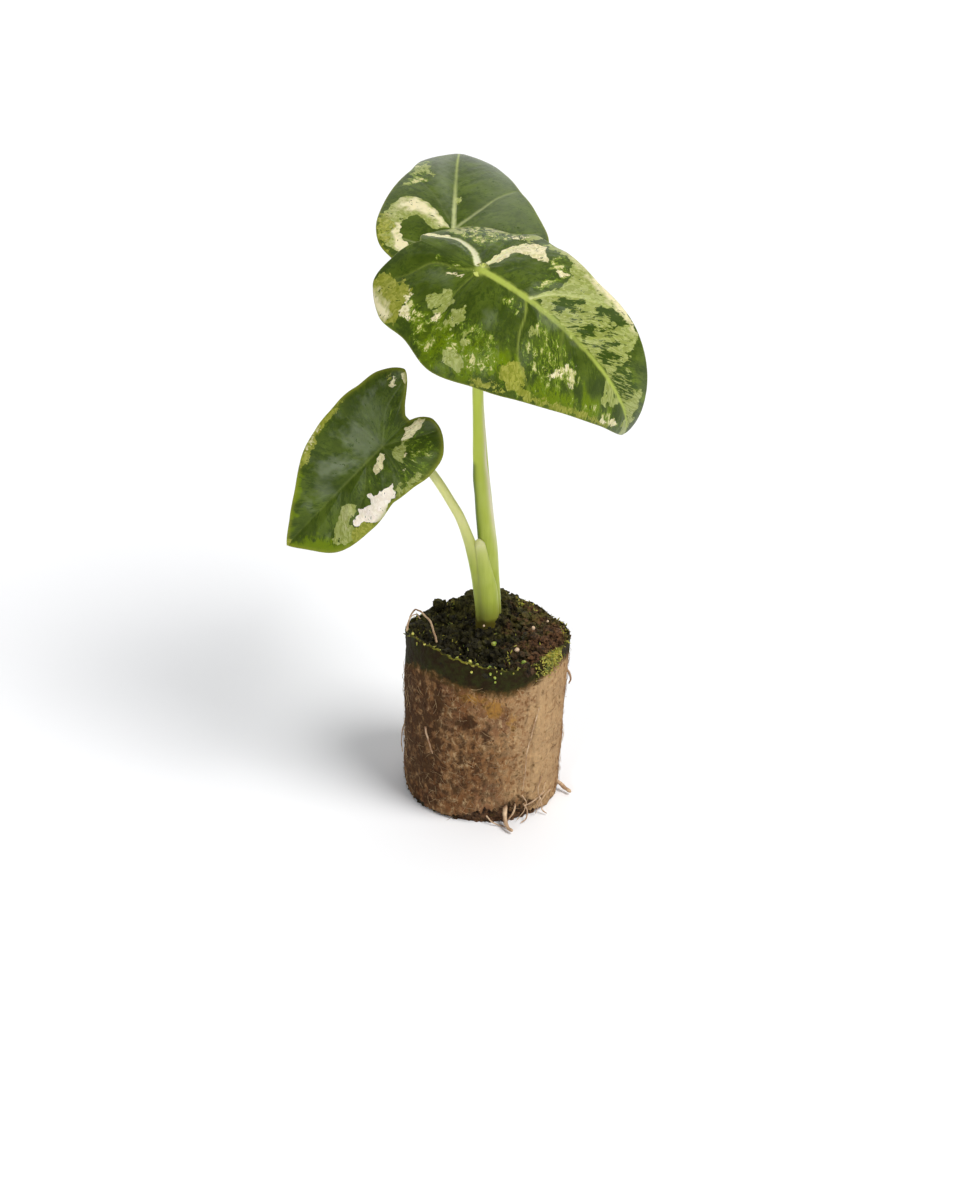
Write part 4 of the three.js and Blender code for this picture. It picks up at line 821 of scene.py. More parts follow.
# Markings: what the tissue does, how strongly, how soft its border is in mm, and its rough outline.
# bright is young green; sage, lime, cream and white have less and less green; speck scatters pale flakes
# over green, fleck scatters green ones over pale, the painted highlight lays a pale grey-green sheen on
# the quilts where they catch the light, and fade lets sage and lime pale smoothly.
MARKINGS = {
    "front": [
        ("bright", 1.3, 3, [(11, 20), (17, 23), (21, 12), (22, 3), (19.5, -6), (15, -10), (12, -4), (10.5, 4),
            (10, 13)]),
        ("bright", 1.3, 3, [(2.5, 48), (5, 45), (12, 33), (16, 24), (11, 21), (8, 25), (5, 33), (2.5, 40)]),
        ("bright", 1.3, 1.5, [(-0.6, 54.5), (-3.6, 48), (-6, 43.5), (-4.4, 44), (-2, 50)]),
        ("bright", 0.8, 2, [(-3, 41), (-6.5, 42), (-9.6, 35.5), (-6, 34.5), (-3, 36)]),
        ("bright", 0.6, 3, [(-18, 0), (-8, -1.5), (-4, -2.5), (-8, -5), (-17, -5)]),
        ("painted_highlight", 0.7, 1, [(6, 8.6), (8.6, 9), (9, 7.6), (6.6, 7)]),
        ("painted_highlight", 0.5, 1.5, [(3.6, -4.5), (5.6, -4), (6.4, -9), (4.6, -9)]),
        ("speck", 0.85, 2, [(9.5, 15), (13, 16), (20, 14), (21.5, 2), (19, -8), (13, -9), (11, -3), (9, 2),
            (8.5, 9)]),
        ("speck", 0.9, 2, [(1.5, 24), (5, 31), (9, 31), (12.5, 26), (12, 19), (8, 15.5), (1.5, 15.5)]),
        ("speck", 0.8, 2, [(2, 47), (5, 45), (12.5, 32), (10, 30), (6, 34), (2, 41)]),
        ("speck", 0.8, 1.2, [(0.8, 13), (5, 12.5), (4, 8), (1, 5)]),
        ("speck", 0.75, 1.5, [(12, 31), (15.5, 25), (18, 17), (16, 16), (14, 22)]),
        ("speck", 0.9, 0.8, [(0.6, -2.5), (1.8, -2.8), (3.2, -8), (3.2, -11), (1.6, -10)]),
        ("speck", 0.7, 1, [(-3, -3.4), (-1.6, -3), (-2.4, -12), (-4.4, -12), (-4.2, -8)]),
        ("speck", 1.3, 1.2, [(3.4, 27.6), (5, 31), (8.4, 31), (7.6, 28), (10, 25.4), (9.4, 24.4), (6, 25)]),
        ("speck", 1.35, 1.2, [(12.6, -5.4), (15.6, -6), (16.4, -10), (14.4, -11.6), (11, -10.6)]),
        ("speck", 1.3, 1, [(11.6, -0.6), (14, -1), (15.4, -3.4), (13.4, -5), (12, -3)]),
        ("speck", 1.25, 1, [(2, 47), (3.8, 46.6), (6, 42), (5.4, 40), (3, 42)]),
        ("speck", 1.25, 1, [(-12.4, 12.8), (-9, 14.6), (-8.4, 12.6), (-10.4, 9), (-12.4, 9)]),
        ("lime", 0.72, 0.8, [(4.6, 46.5), (8, 40), (12.4, 32.5), (15.4, 26), (14.2, 25.5), (11, 31), (7, 38),
            (4, 44)]),
        ("lime", 0.75, 1, [(16.6, 22), (18.6, 18), (20.4, 12.5), (18.6, 12.5), (16.8, 17)]),
        ("sage", 1.5, 0.5, [(6.5, -1.9), (9, -1.3), (11.6, -2), (11.9, -4.4), (10.2, -6.3), (8.6, -5.2),
            (7.2, -3.9)]),
        ("sage", 1.2, 0.5, [(8.2, 2.4), (10, 3.5), (11.6, 2.6), (13, 1.4), (12.4, -0.2), (10, 0.2),
            (9, 1.2)]),
        ("sage", 1, 0.5, [(11.8, 6), (13.4, 7.2), (15.2, 6.6), (14, 5), (12.4, 5)]),
        ("sage", 1.2, 0.6, [(16.4, 7), (17.6, 9.4), (19.2, 9), (19.6, 6), (18.6, 3.4), (17, 3.2)]),
        ("lime", 1.5, 0.5, [(10.4, 18.6), (11.8, 21.4), (13.6, 22.6), (14, 27), (15, 25.5), (15.6, 21),
            (15.4, 18), (14, 16.6), (11.8, 17)]),
        ("sage", 1.3, 0.5, [(0.3, 40.8), (2.6, 40.2), (3.6, 38.4), (1.8, 35.6), (0.3, 34.6)]),
        ("sage", 1, 0.5, [(0.1, 54.5), (1.4, 52), (1.8, 49), (0.8, 46.5), (0.1, 46)]),
        ("sage", 1, 0.4, [(3.4, 17), (4.6, 17.8), (5.6, 16.6), (5.2, 15.3), (3.8, 15.5)]),
        ("cream", 0.7, 0.9, [(3.6, 27.4), (5, 28), (6.4, 27.4), (8.2, 26.6), (9.6, 25), (8.6, 24.8),
            (6.6, 25.6), (4.4, 26.2)]),
        ("cream", 0.7, 0.8, [(5.2, 29.2), (7, 30.8), (8.2, 30.4), (7, 29), (5.8, 28.2)]),
        ("cream", 1, 0.35, [(2.4, 46), (3.6, 46.2), (4, 44.2), (3, 43.6)]),
        ("cream", 0.9, 0.35, [(4.2, 43.6), (5.4, 43.8), (5.6, 41.4), (4.6, 41.6)]),
        ("cream", 0.8, 0.4, [(11.6, -2), (13.4, -2), (13.6, -3.6), (12, -3.6)]),
        ("cream", 0.65, 1, [(13.4, -7.4), (15, -8), (15.6, -10), (14, -11.4), (12.6, -10.6), (13, -9)]),
        ("cream", 0.6, 0.8, [(10, -10), (12.6, -10), (12, -11.2), (10.4, -11.2)]),
        ("lime", 1.2, 0.8, [(9.6, -11), (13, -10.4), (17.8, -11), (18, -14), (17, -17), (13, -20.6),
            (9.4, -20.4), (9.6, -15)]),
        ("fade", 1.0, 1.0, [(14.6, -14.8), (16.4, -12.6), (18, -14), (16.8, -17.8), (12.8, -20.6),
            (12.8, -19), (14.6, -17)]),
        ("sage", 0.8, 0.9, [(9.6, -15), (11.6, -14.4), (12, -18.6), (10.6, -20.6), (9.2, -19)]),
        ("cream", 0.9, 0.3, [(2.4, -2.2), (3, -2.4), (4.4, -5.6), (3.8, -5.8), (3, -4.2)]),
        ("sage", 1.3, 0.5, [(-0.3, 51), (-0.9, 49), (-1.5, 47), (-3.4, 44.8), (-4.8, 42.6), (-3.2, 40.6),
            (-0.3, 40.4)]),
        ("sage", 0.8, 0.8, [(-0.3, 40.5), (-3.4, 40), (-5, 36), (-0.3, 34)]),
        ("fleck", 0.9, 0.8, [(-0.4, 42), (-4.6, 41), (-5, 34), (-0.4, 33)]),
        ("sage", 1.4, 0.6, [(-0.5, 34.6), (-3, 33.8), (-5.5, 34.4), (-7.5, 34), (-10.6, 33.6), (-13.4, 27),
            (-13, 22), (-9.4, 18.6), (-5.6, 16), (-2, 13.4), (-0.5, 14.5)]),
        ("fleck", 0.5, 1, [(-1.5, 33.6), (-6, 33), (-9.6, 32), (-11.8, 27.5), (-10.4, 22), (-7.5, 23),
            (-4, 17.5), (-1, 19.5), (-1, 28)]),
        ("fleck", 1.5, 0.7, [(-9, 20.6), (-5.6, 19.6), (-2, 18.2), (-1.4, 16), (-5, 16.2)]),
        ("fleck", 1.4, 0.7, [(-4.6, 33), (-0.9, 31.6), (-0.8, 28.6), (-3.2, 29)]),
        ("fleck", 1.4, 0.7, [(-11.6, 31), (-10, 30), (-7.4, 24.6), (-8.6, 22.6), (-11.2, 25)]),
        ("fleck", 1.2, 0.7, [(-6, 27), (-1, 25), (-0.8, 22), (-4.6, 23.4)]),
        ("sage", 2, 0.5, [(-0.8, 12.1), (-3.4, 13.3), (-6.4, 14.8), (-9.4, 15.2), (-11.4, 14.2),
            (-13.4, 13.6), (-15.2, 11.6), (-15.4, 9.2), (-17.6, 8), (-17.2, 12), (-15.8, 17), (-14.4, 23),
            (-12.6, 29), (-11.8, 26), (-11.6, 22), (-9, 18.4), (-5.6, 15.8), (-1.4, 12.9)]),
        ("fade", 1.2, 1.6, [(-11.6, 32.5), (-13.4, 28.5), (-14.4, 23.4), (-15.6, 17.4), (-14, 18),
            (-12.8, 22), (-12.2, 27)]),
        ("fade", 0.6, 1.6, [(-15.4, 17), (-17, 11), (-17.6, 8.4), (-16, 9.6), (-14.6, 14)]),
        ("speck", 0.85, 0.8, [(-10, 14.6), (-3, 13), (-2, 11), (-6, 10.4), (-10, 11.5)]),
        ("speck", 0.7, 1, [(-15.5, 13), (-11.5, 13.4), (-11, 9), (-14.5, 8)]),
        ("cream", 0.9, 0.35, [(-10.6, 14), (-9, 13.4), (-9.2, 11.4), (-10.4, 12)]),
        ("cream", 2, 0.35, [(-1.2, -0.3), (-3, 0.7), (-6, 1.1), (-8.4, 0.9), (-9.4, 2.6), (-10, 5.6),
            (-10.5, 8.8), (-11.4, 8.4), (-12.6, 6.4), (-15.4, 4.4), (-14.6, 2.4), (-14.2, 0.2), (-12, -0.8),
            (-8, -1), (-4, -0.7)]),
        ("sage", 0.9, 0.8, [(-15.4, 8), (-17.6, 8), (-19, 4), (-16.5, 3.5)]),
        ("speck", 1.1, 1.5, [(-6, -5), (-14, -2), (-19.6, -3), (-19.6, -13), (-17.6, -17), (-11, -18.4),
            (-7.4, -17)]),
        ("sage", 1.4, 0.7, [(-12.6, -7.8), (-16, -6.6), (-19, -8.6), (-18.4, -12), (-14.6, -12.4),
            (-13, -10.4)]),
        ("sage", 1.4, 0.7, [(-8.4, -12.4), (-11.4, -11.8), (-13, -14), (-12.4, -17.4), (-8.6, -17.4),
            (-7.8, -15)]),
        ("sage", 0.8, 0.9, [(-19.4, 1), (-16, 1), (-14.4, -2), (-19.6, -4)]),
        ("cream", 1.2, 0.5, [(-16.6, -1), (-15, -1.4), (-13.6, -3.2), (-14.6, -4.8), (-16.4, -3.4)]),
        ("fade", 0.9, 1.0, [(-14.6, -9.6), (-16.4, -8), (-17.4, -9.6), (-15.6, -11)]),
        ("fade", 0.35, 2, [(-19, -9), (-9, -8), (-8, -17), (-17, -17)]),
        ("fleck", 0.6, 1.2, [(-20, 1), (-10, -3), (-7, -10), (-9, -17), (-18, -16)]),
        ("cream", 1.4, 0.35, [(-6.3, -13.4), (-5.2, -15.4), (-4.2, -17.8), (-2.2, -17.8), (-2.8, -16),
            (-4.2, -13.8)])],
    "back": [
        ("painted_highlight", 0.5, 4, [(5, 4), (19, 3), (19, 16), (14, 27), (7, 34), (6, 22)]),
        ("painted_highlight", 0.7, 1.5, [(-0.8, 9), (-4.4, 20), (-5, 33), (-1.6, 34), (-0.9, 20)]),
        ("fade", 0.12, 0.8, [(-15, 10), (-10, 15.5), (-1, 6), (-2, 5), (-9, 9), (-12, 5), (-9, -1), (-12, -3),
            (-15, 2)]),
        ("sage", 2, 0.25, [(-0.9, 5), (-2.6, 8.2), (-4.8, 11.6), (-7, 13.6), (-10, 14.8), (-12.6, 12.6),
            (-14.3, 9.4), (-14.7, 5.6), (-14.2, 2), (-12.8, -0.8), (-10.6, -2.2), (-8.8, -0.6), (-10.2, 1.2),
            (-11.1, 3.2), (-11, 5.6), (-9.6, 7.8), (-7.6, 8.3), (-5.6, 6.2), (-4.4, 4.2)]),
        ("fade", 1.0, 0.6, [(-11.8, -0.8), (-10.4, -2.2), (-8.8, -0.6), (-10, 1.2), (-10.9, 3.2),
            (-10.8, 5.8), (-11.8, 6.2), (-12, 3)]),
        ("fade", 0.9, 0.9, [(-11, 13.2), (-8, 13.8), (-5.6, 12), (-3, 8.8), (-1, 5.4), (-2.8, 5.4), (-4.8, 8),
            (-7, 9.4), (-9.4, 9.8), (-11.4, 11.4)]),
        ("lime", 0.6, 0.6, [(-15.8, 9), (-12.8, 9.6), (-12.2, 5), (-12.4, 1), (-14.2, -1.4), (-15, 2)]),
        ("fade", 0.3, 1, [(-14.2, 9), (-12, 12), (-10, 13.8), (-8.6, 12.6), (-11.4, 9.6), (-12.8, 7)]),
        ("lime", 0.9, 0.6, [(-14.8, 11), (-15.8, 7), (-15, 1), (-13.8, -1.4), (-14.4, 3), (-14.6, 8)]),
        ("sage", 1.2, 0.4, [(0.3, 14.8), (0.9, 14.2), (1, 12.4), (0.4, 11.8)]),
        ("speck", 1, 1.5, [(-9.8, 36), (-5.4, 34), (-5, 24), (-6, 20), (-10.6, 19)]),
        ("sage", 0.9, 0.5, [(-9.4, 25.6), (-6.4, 25.4), (-4.8, 22), (-4.2, 22.6), (-5.6, 26), (-6, 30),
            (-7.4, 30), (-7, 27), (-9.2, 26.6)]),
        ("sage", 0.9, 0.4, [(-10.6, 21.2), (-9.4, 21), (-9.6, 19.2), (-10.6, 19.4)]),
        ("cream", 0.9, 0.8, [(3, 3.4), (9, 4.4), (13, 3.4), (17, 2.4), (17.6, 0.4), (13, 1.8), (9, 2.6),
            (4, 2.2)]),
        ("sage", 0.8, 0.9, [(10, -3), (16, -2), (17, -7), (13, -9)]),
        ("speck", 0.7, 2, [(2, -3), (9, -4), (14, -10), (9, -15), (4, -10)]),
        ("speck", 0.7, 2, [(-2, -3), (-9, -4), (-12, -10), (-9, -15), (-4, -10)])],
    "left": [
        ("bright", 2.0, 1.2, [(-0.3, 29.5), (-5, 27), (-9.4, 22.4), (-10.6, 17), (-10.2, 13), (-8.6, 16),
            (-8.6, 19.5), (-6, 21.6), (-3.4, 22.6), (-1.6, 26)]),
        ("bright", 1.7, 1.3, [(0.3, 29.8), (5, 23.5), (9.6, 16.5), (8, 15.5), (5, 20), (2, 25)]),
        ("bright", 0.5, 2, [(-10.6, -2), (-8, -2), (-8, -7), (-10.4, -7)]),
        ("painted_highlight", 0.8, 1.0, [(0.8, -1), (0.9, 4.4), (4, 4.8), (7, 4.2), (7.6, 1), (6, -0.8)]),
        ("painted_highlight", 1, 1, [(1.2, 6), (2.4, 9.8), (4.2, 13.4), (6.4, 12.8), (5.4, 9.2), (2.6, 5.8)]),
        ("painted_highlight", 0.6, 1.2, [(0.6, 14), (1.2, 17), (3.6, 16.2), (4.2, 14.6), (2.4, 13.6)]),
        ("painted_highlight", 0.6, 0.8, [(0.8, 19.4), (1.6, 20.2), (3.4, 20), (2.8, 19)]),
        ("painted_highlight", 0.5, 1.6, [(2.4, -1.6), (8, -1), (8.4, -5.5), (5, -6)]),
        ("lime", 1.1, 0.4, [(-0.5, 30), (0.8, 29.6), (1.6, 28), (0.4, 27.8)]),
        ("lime", 0.85, 0.6, [(8.6, 15.8), (10, 15), (11.4, 11), (12.6, 7), (12.9, 2), (12.4, -1), (11.6, 1.6),
            (11.2, 6), (10, 9.6), (8.8, 12)]),
        ("cream", 0.75, 0.5, [(9.6, 15), (11, 11.6), (12.4, 7), (11.9, 5.6), (10.8, 10)]),
        ("speck", 0.5, 1, [(0.8, -1.5), (3, -3), (5, -6.4), (4.2, -7.8), (1.6, -6)]),
        ("cream", 0.9, 0.25, [(7.2, -9.8), (7.7, -9.8), (8.4, -11.8), (7.9, -12)]),
        ("cream", 0.9, 0.25, [(6.6, -9.9), (6.9, -9.8), (7.2, -10.6), (6.9, -10.8)]),
        ("cream", 1.2, 0.35, [(5.8, -12.4), (6.8, -12.6), (7.5, -13.4), (7.2, -14.2), (6.4, -13.6)]),
        ("lime", 0.7, 0.4, [(8.8, -10.4), (9.6, -10.6), (9.6, -12), (8.9, -11.8)]),
        ("sage", 1.8, 0.4, [(-8.8, 18.4), (-7.6, 20.7), (-6.4, 21.1), (-5.2, 19.4), (-4.4, 17.4),
            (-3.5, 15.6), (-3.1, 13.7), (-3.9, 13.1), (-4.8, 12.2), (-5.4, 13.2), (-6.2, 15.4), (-7.2, 16),
            (-9.6, 15.6)]),
        ("lime", 1.2, 0.4, [(-9.6, 18), (-8.6, 17.4), (-7.6, 15.6), (-8.2, 13.4), (-9.6, 11.6), (-10.4, 13),
            (-10.2, 16)]),
        ("fade", 0.25, 0.8, [(-6.4, 17.2), (-3.5, 17), (-3.2, 13.8), (-4.8, 12.6), (-6, 15)]),
        ("white", 2, 0.3, [(-7.4, 15.1), (-6.6, 14.6), (-6.5, 13), (-5.6, 12.2), (-6.6, 11.4), (-6.7, 9.3),
            (-5.2, 8.9), (-5.1, 8.2), (-6.6, 8.1), (-6.7, 5.4), (-7, 3.2), (-8.8, 4.8), (-9.2, 7),
            (-9.9, 8.6), (-10.2, 10.6), (-9.2, 12.2), (-8.2, 13)]),
        ("cream", 2, 0.25, [(-3.3, 4.7), (-2.3, 4), (-1.2, 2.5), (-0.7, 1.1), (-1.4, 0.6), (-2.4, 1.3),
            (-3.3, 2.8)]),
        ("sage", 1.1, 0.35, [(-4.9, -0.9), (-2.6, -0.7), (-2.2, -2.4), (-2.6, -4), (-4, -3.8),
            (-5.2, -2.8)]),
        ("cream", 1.6, 0.3, [(-2.5, -4), (-1.7, -4.4), (-1.1, -6.4), (-1.1, -8.6), (-2.1, -10.8), (-2.7, -9),
            (-2.9, -6.4)]),
        ("cream", 0.9, 0.25, [(-7.2, -0.2), (-6.5, -0.2), (-6.6, -1.4), (-7.1, -1.2)]),
        ("cream", 0.9, 0.25, [(-5.1, -2.2), (-4.7, -2.4), (-4.8, -3.6), (-5.2, -3.2)]),
        ("speck", 0.55, 1.2, [(-7, 8), (-3.4, 8), (-1, 5), (-1.2, 0), (-6, 1.6)]),
        ("speck", 0.75, 1.2, [(-1.4, -1), (-3, -10), (-8.6, -9.6), (-10.4, -4), (-9.6, 2), (-6, 1.6)]),
        ("sage", 0.8, 0.8, [(-10.2, 4.6), (-8, 4), (-8.4, 0), (-9, -3), (-10.8, -3)])],
}
BLADE = {"columns": 250, "rows": 50, "thickness": 0.44, "edge": 0.25, "keel": 0.62, "side_keel": 0.28,
         "groove": 0.16, "side_groove": 0.12, "span": 45}
FOOT_ANGLES = [0, 20, 38, 60, 100, 150, 180]
FOOT_SHARES = [1, 0.47, 0.2, 0.03, -0.1, -0.62, -1]


def segments_distance(points, path):
    """Distance from each point to a path of straight steps, and how far along it the nearest is."""
    path = np.asarray(path, float)
    nearest, share = np.full(len(points), np.inf), np.zeros(len(points))
    lengths = np.linalg.norm(np.diff(path, axis=0), axis=1)
    walked = np.concatenate([[0], np.cumsum(lengths)])
    for i, (a, b) in enumerate(zip(path[:-1], path[1:])):
        t = np.clip((points - a) @ (b - a) / max(lengths[i] ** 2, 1e-9), 0, 1)
        distance = np.linalg.norm(points - a - t[:, None] * (b - a), axis=1)
        closer = distance < nearest
        share = np.where(closer, (walked[i] + t * lengths[i]) / walked[-1], share)
        nearest = np.where(closer, distance, nearest)
    return nearest, share


def inside_outline(points, outline):
    """How deep each point lies inside a closed outline, in mm; outside it is negative."""
    outline = np.asarray(outline, float)
    depth = segments_distance(points, np.concatenate([outline, outline[:1]]))[0]
    inside = np.zeros(len(points), bool)
    for (ax, ay), (bx, by) in zip(outline, np.roll(outline, -1, axis=0)):
        crosses = (ay > points[:, 1]) != (by > points[:, 1])
        where = ax + (points[:, 1] - ay) * (bx - ax) / (by - ay if by != ay else 1)
        inside ^= crosses & (points[:, 0] < where)
    return np.where(inside, depth, -depth)


def arc(start, curl, length, steps=16):
    """Along and up of an arc that leaves at the angle start and turns by curl a millimetre."""
    angles = start + curl * length * (np.arange(steps)[:, None] + 0.5) / steps
    return (np.cos(angles) * length).mean(0), (np.sin(angles) * length).mean(0)


def bent(leaf, flat):
    """The blade's middle surface for flat places x, y, without its relief."""
    x, y = flat.T
    lift, curl = (np.where(x >= 0, leaf["right"][k][0] + leaf["right"][k][1] * y / BLADE["span"],
                           leaf["left"][k][0] + leaf["left"][k][1] * y / BLADE["span"])
                  for k in ("lift", "curl"))
    out, up = arc(lift, curl, np.abs(x))
    droop, growth = leaf["droop"]
    steps = y * (np.arange(32)[:, None] + 0.5) / 32
    bend = np.where(steps > 0, droop * steps + growth * steps ** 2, leaf["lobe_droop"] * steps)
    end = np.where(y > 0, droop * y + growth * y ** 2, leaf["lobe_droop"] * y)
    along, drop = (np.cos(bend) * y).mean(0), -(np.sin(bend) * y).mean(0)
    right, tip, face = leaf["axes"]
    return (leaf["joint"] + np.outer(np.sign(x) * out + leaf["sweep"] * y * y / 2, right)
            + np.outer(along + up * np.sin(end), tip) + np.outer(drop + up * np.cos(end), face))


def facing_out(leaf, flat):
    across = bent(leaf, flat + [0.4, 0]) - bent(leaf, flat - [0.4, 0])
    along = bent(leaf, flat + [0, 0.4]) - bent(leaf, flat - [0, 0.4])
    normal = np.cross(across, along)
    return normal / np.linalg.norm(normal, axis=1, keepdims=True)


def welded(points, faces):
    """Joins points that lie together; gives the faces left, and which points are kept."""
    keys = np.round(points / 0.0005).astype(np.int64)
    _, first, group = np.unique(keys, axis=0, return_index=True, return_inverse=True)
    sound = []
    for face in group.ravel()[faces]:
        corners = [c for i, c in enumerate(face) if c != face[i - 1]]
        if len(set(corners)) == len(corners) > 2:
            sound.append(corners)
    return first, sound


# Leaf tissue: a waxy, velvety upper skin over quilted cells. Green tissue is dark and satin; pale
# tissue is thinner and lets light through. Borders follow the cells between the smallest veins.
leaf_tissue, tree, shader = surface("leaf_tissue")
flat = add(tree, "ShaderNodeUVMap", uv_map="leaf")
flat = add(tree, "ShaderNodeVectorMath", {0: flat, 3: 100.0}, operation="SCALE")
flow = add(tree, "ShaderNodeUVMap", uv_map="veinwise")
flow = add(tree, "ShaderNodeVectorMath", {0: flow, 3: 100.0}, operation="SCALE")
bend = add(tree, "ShaderNodeTexNoise", {0: flow, "Scale": 0.55, "Detail": 2}, "Color")
bend = add(tree, "ShaderNodeVectorMath", {0: bend, 1: (0.5, 0.5, 0.5)}, operation="SUBTRACT")
bend = add(tree, "ShaderNodeVectorMath", {0: bend, 3: 1.6}, operation="SCALE")
flow = add(tree, "ShaderNodeVectorMath", {0: flow, 1: bend}, operation="ADD")
flow = add(tree, "ShaderNodeVectorMath", {0: flow, 1: (0.62, 1.3, 1)}, operation="MULTIPLY")
large_cells = add(tree, "ShaderNodeTexVoronoi", {0: flow, "Scale": 1.0}, "Color")
large_cells = add(tree, "ShaderNodeSeparateColor", {0: large_cells}).node.outputs
small_cells = add(tree, "ShaderNodeTexVoronoi", {0: flow, "Scale": 2.8}, "Color")
small_cells = add(tree, "ShaderNodeSeparateColor", {0: small_cells}).node.outputs
tiny_cells = add(tree, "ShaderNodeTexVoronoi", {0: flow, "Scale": 4.0}, "Color")
tiny_cells = add(tree, "ShaderNodeSeparateColor", {0: tiny_cells}).node.outputs
fine = add(tree, "ShaderNodeTexNoise", {0: flow, "Scale": 1.7, "Detail": 5, "Roughness": 0.78})
flakes = add(tree, "ShaderNodeTexNoise", {0: flow, "Scale": 0.6, "Detail": 5, "Roughness": 0.74})
clusters = add(tree, "ShaderNodeTexNoise", {0: flow, "Scale": 0.3, "Detail": 2})
streaks = add(tree, "ShaderNodeVectorMath", {0: flow, 1: (0.85, 1.0, 1)}, operation="MULTIPLY")
streaks = add(tree, "ShaderNodeTexNoise", {0: streaks, "Scale": 0.85, "Detail": 4, "Roughness": 0.7})
broad = add(tree, "ShaderNodeTexNoise", {0: flat, "Scale": 0.14, "Detail": 4, "Roughness": 0.6})
broad = add(tree, "ShaderNodeMapRange", {0: broad, 1: 0.36, 2: 0.64})
green = add(tree, "ShaderNodeMix", {0: broad, 6: linear("#3d4d10"), 7: linear("#56681f")}, 2,
            data_type="RGBA")
young = add(tree, "ShaderNodeAttribute", attribute_name="bright", out="Fac")
fresh = add(tree, "ShaderNodeMapRange", {0: young, 1: 1.25, 2: 2.0})
young = add(tree, "ShaderNodeMath", {0: young, 1: 0.7, 2: -0.75}, operation="MULTIPLY_ADD")
young = add(tree, "ShaderNodeMath", {0: clusters, 1: 1.5, 2: young}, operation="MULTIPLY_ADD")
young = add(tree, "ShaderNodeMath", {0: fine, 1: 0.8, 2: young}, operation="MULTIPLY_ADD")
young = add(tree, "ShaderNodeMapRange", {0: young, 1: 0.8, 2: 1.35}, interpolation_type="SMOOTHSTEP")
green = add(tree, "ShaderNodeMix", {0: young, 6: green, 7: linear("#677d00")}, 2, data_type="RGBA")
deep = add(tree, "ShaderNodeMath", {0: clusters, 1: -0.6, 2: fine}, operation="MULTIPLY_ADD")
deep = add(tree, "ShaderNodeMapRange", {0: deep, 1: 0.19, 2: 0.27, 4: 0.7})
green = add(tree, "ShaderNodeMix", {0: deep, 6: green, 7: linear("#2f400c")}, 2, data_type="RGBA")
green = add(tree, "ShaderNodeMix", {0: fresh, 6: green, 7: linear("#687d00")}, 2, data_type="RGBA")
# Painted highlight: the quilts are mixed toward pale grey-green where they catch the light, a sheen painted
# into the colour.
painted_highlight_share = add(tree, "ShaderNodeAttribute", attribute_name="painted_highlight", out="Fac")
painted_highlight_share = add(tree, "ShaderNodeMath", {0: painted_highlight_share, 1: 0.6}, operation="MULTIPLY")
green = add(tree, "ShaderNodeMix", {0: painted_highlight_share, 6: green, 7: linear("#828d70")}, 2, data_type="RGBA")
tissue = green
speck = add(tree, "ShaderNodeAttribute", attribute_name="speck", out="Fac")
dust = add(tree, "ShaderNodeMath", {0: speck, 1: 0.11, 2: fine}, operation="MULTIPLY_ADD")
dust = add(tree, "ShaderNodeMapRange", {0: dust, 1: 0.72, 2: 0.745, 4: 0.75})
tissue = add(tree, "ShaderNodeMix", {0: dust, 6: tissue, 7: linear("#93a040")}, 2, data_type="RGBA")
speck = add(tree, "ShaderNodeMath", {0: speck, 1: 0.30, 2: -0.15}, operation="MULTIPLY_ADD")
speck = add(tree, "ShaderNodeMath", {0: flakes, 1: 1.15, 2: speck}, operation="MULTIPLY_ADD")
speck = add(tree, "ShaderNodeMath", {0: tiny_cells[2], 1: 0.12, 2: speck}, operation="MULTIPLY_ADD")
for low, share, tint in ((0.74, 0.8, "#607c10"), (0.80, 0.9, "#8a9640"), (0.87, 0.95, "#cfcb8e")):
    flake = add(tree, "ShaderNodeMapRange", {0: speck, 1: low, 2: low + 0.02, 4: share})
    tissue = add(tree, "ShaderNodeMix", {0: flake, 6: tissue, 7: linear(tint)}, 2, data_type="RGBA")
faded = add(tree, "ShaderNodeAttribute", attribute_name="fade", out="Fac")
faded = add(tree, "ShaderNodeMath", {0: fine, 1: 0.8, 2: faded}, operation="MULTIPLY_ADD")
faded = add(tree, "ShaderNodeMapRange", {0: faded, 1: 0.5, 2: 1.25})
for i, (field, tint, paler) in enumerate((
        ("sage", "#858f42", "#a4ac68"), ("lime", "#7d842a", "#9c9e44"), ("cream", "#c6bf8e", "#e8e0b8"),
        ("white", "#e6dccb", "#f4ecdf"))):
    grain = add(tree, "ShaderNodeMath", {0: large_cells[i % 3], 1: 0.30, 2: -0.76}, operation="MULTIPLY_ADD")
    grain = add(tree, "ShaderNodeMath", {0: small_cells[i % 3], 1: 0.32, 2: grain}, operation="MULTIPLY_ADD")
    grain = add(tree, "ShaderNodeMath", {0: fine, 1: 0.9, 2: grain}, operation="MULTIPLY_ADD")
    held = add(tree, "ShaderNodeAttribute", attribute_name=field, out="Fac")
    held = add(tree, "ShaderNodeMath", {0: held, 1: grain}, operation="ADD")
    held = add(tree, "ShaderNodeMapRange", {0: held, 1: 0.46, 2: 0.54})
    tone = add(tree, "ShaderNodeMath", {0: small_cells[(i + 1) % 3], 1: fine}, operation="MULTIPLY")
    tone = add(tree, "ShaderNodeMapRange", {0: tone, 1: 0.1, 2: 0.45})
    tone = add(tree, "ShaderNodeMix", {0: tone, 6: linear(tint), 7: linear(paler)}, 2, data_type="RGBA")
    if field in ("sage", "lime"):
        tone = add(tree, "ShaderNodeMix", {0: faded, 6: tone, 7: linear("#e2dab0")}, 2, data_type="RGBA")
    tissue = add(tree, "ShaderNodeMix", {0: held, 6: tissue, 7: tone}, 2, data_type="RGBA")
fleck = add(tree, "ShaderNodeAttribute", attribute_name="fleck", out="Fac")
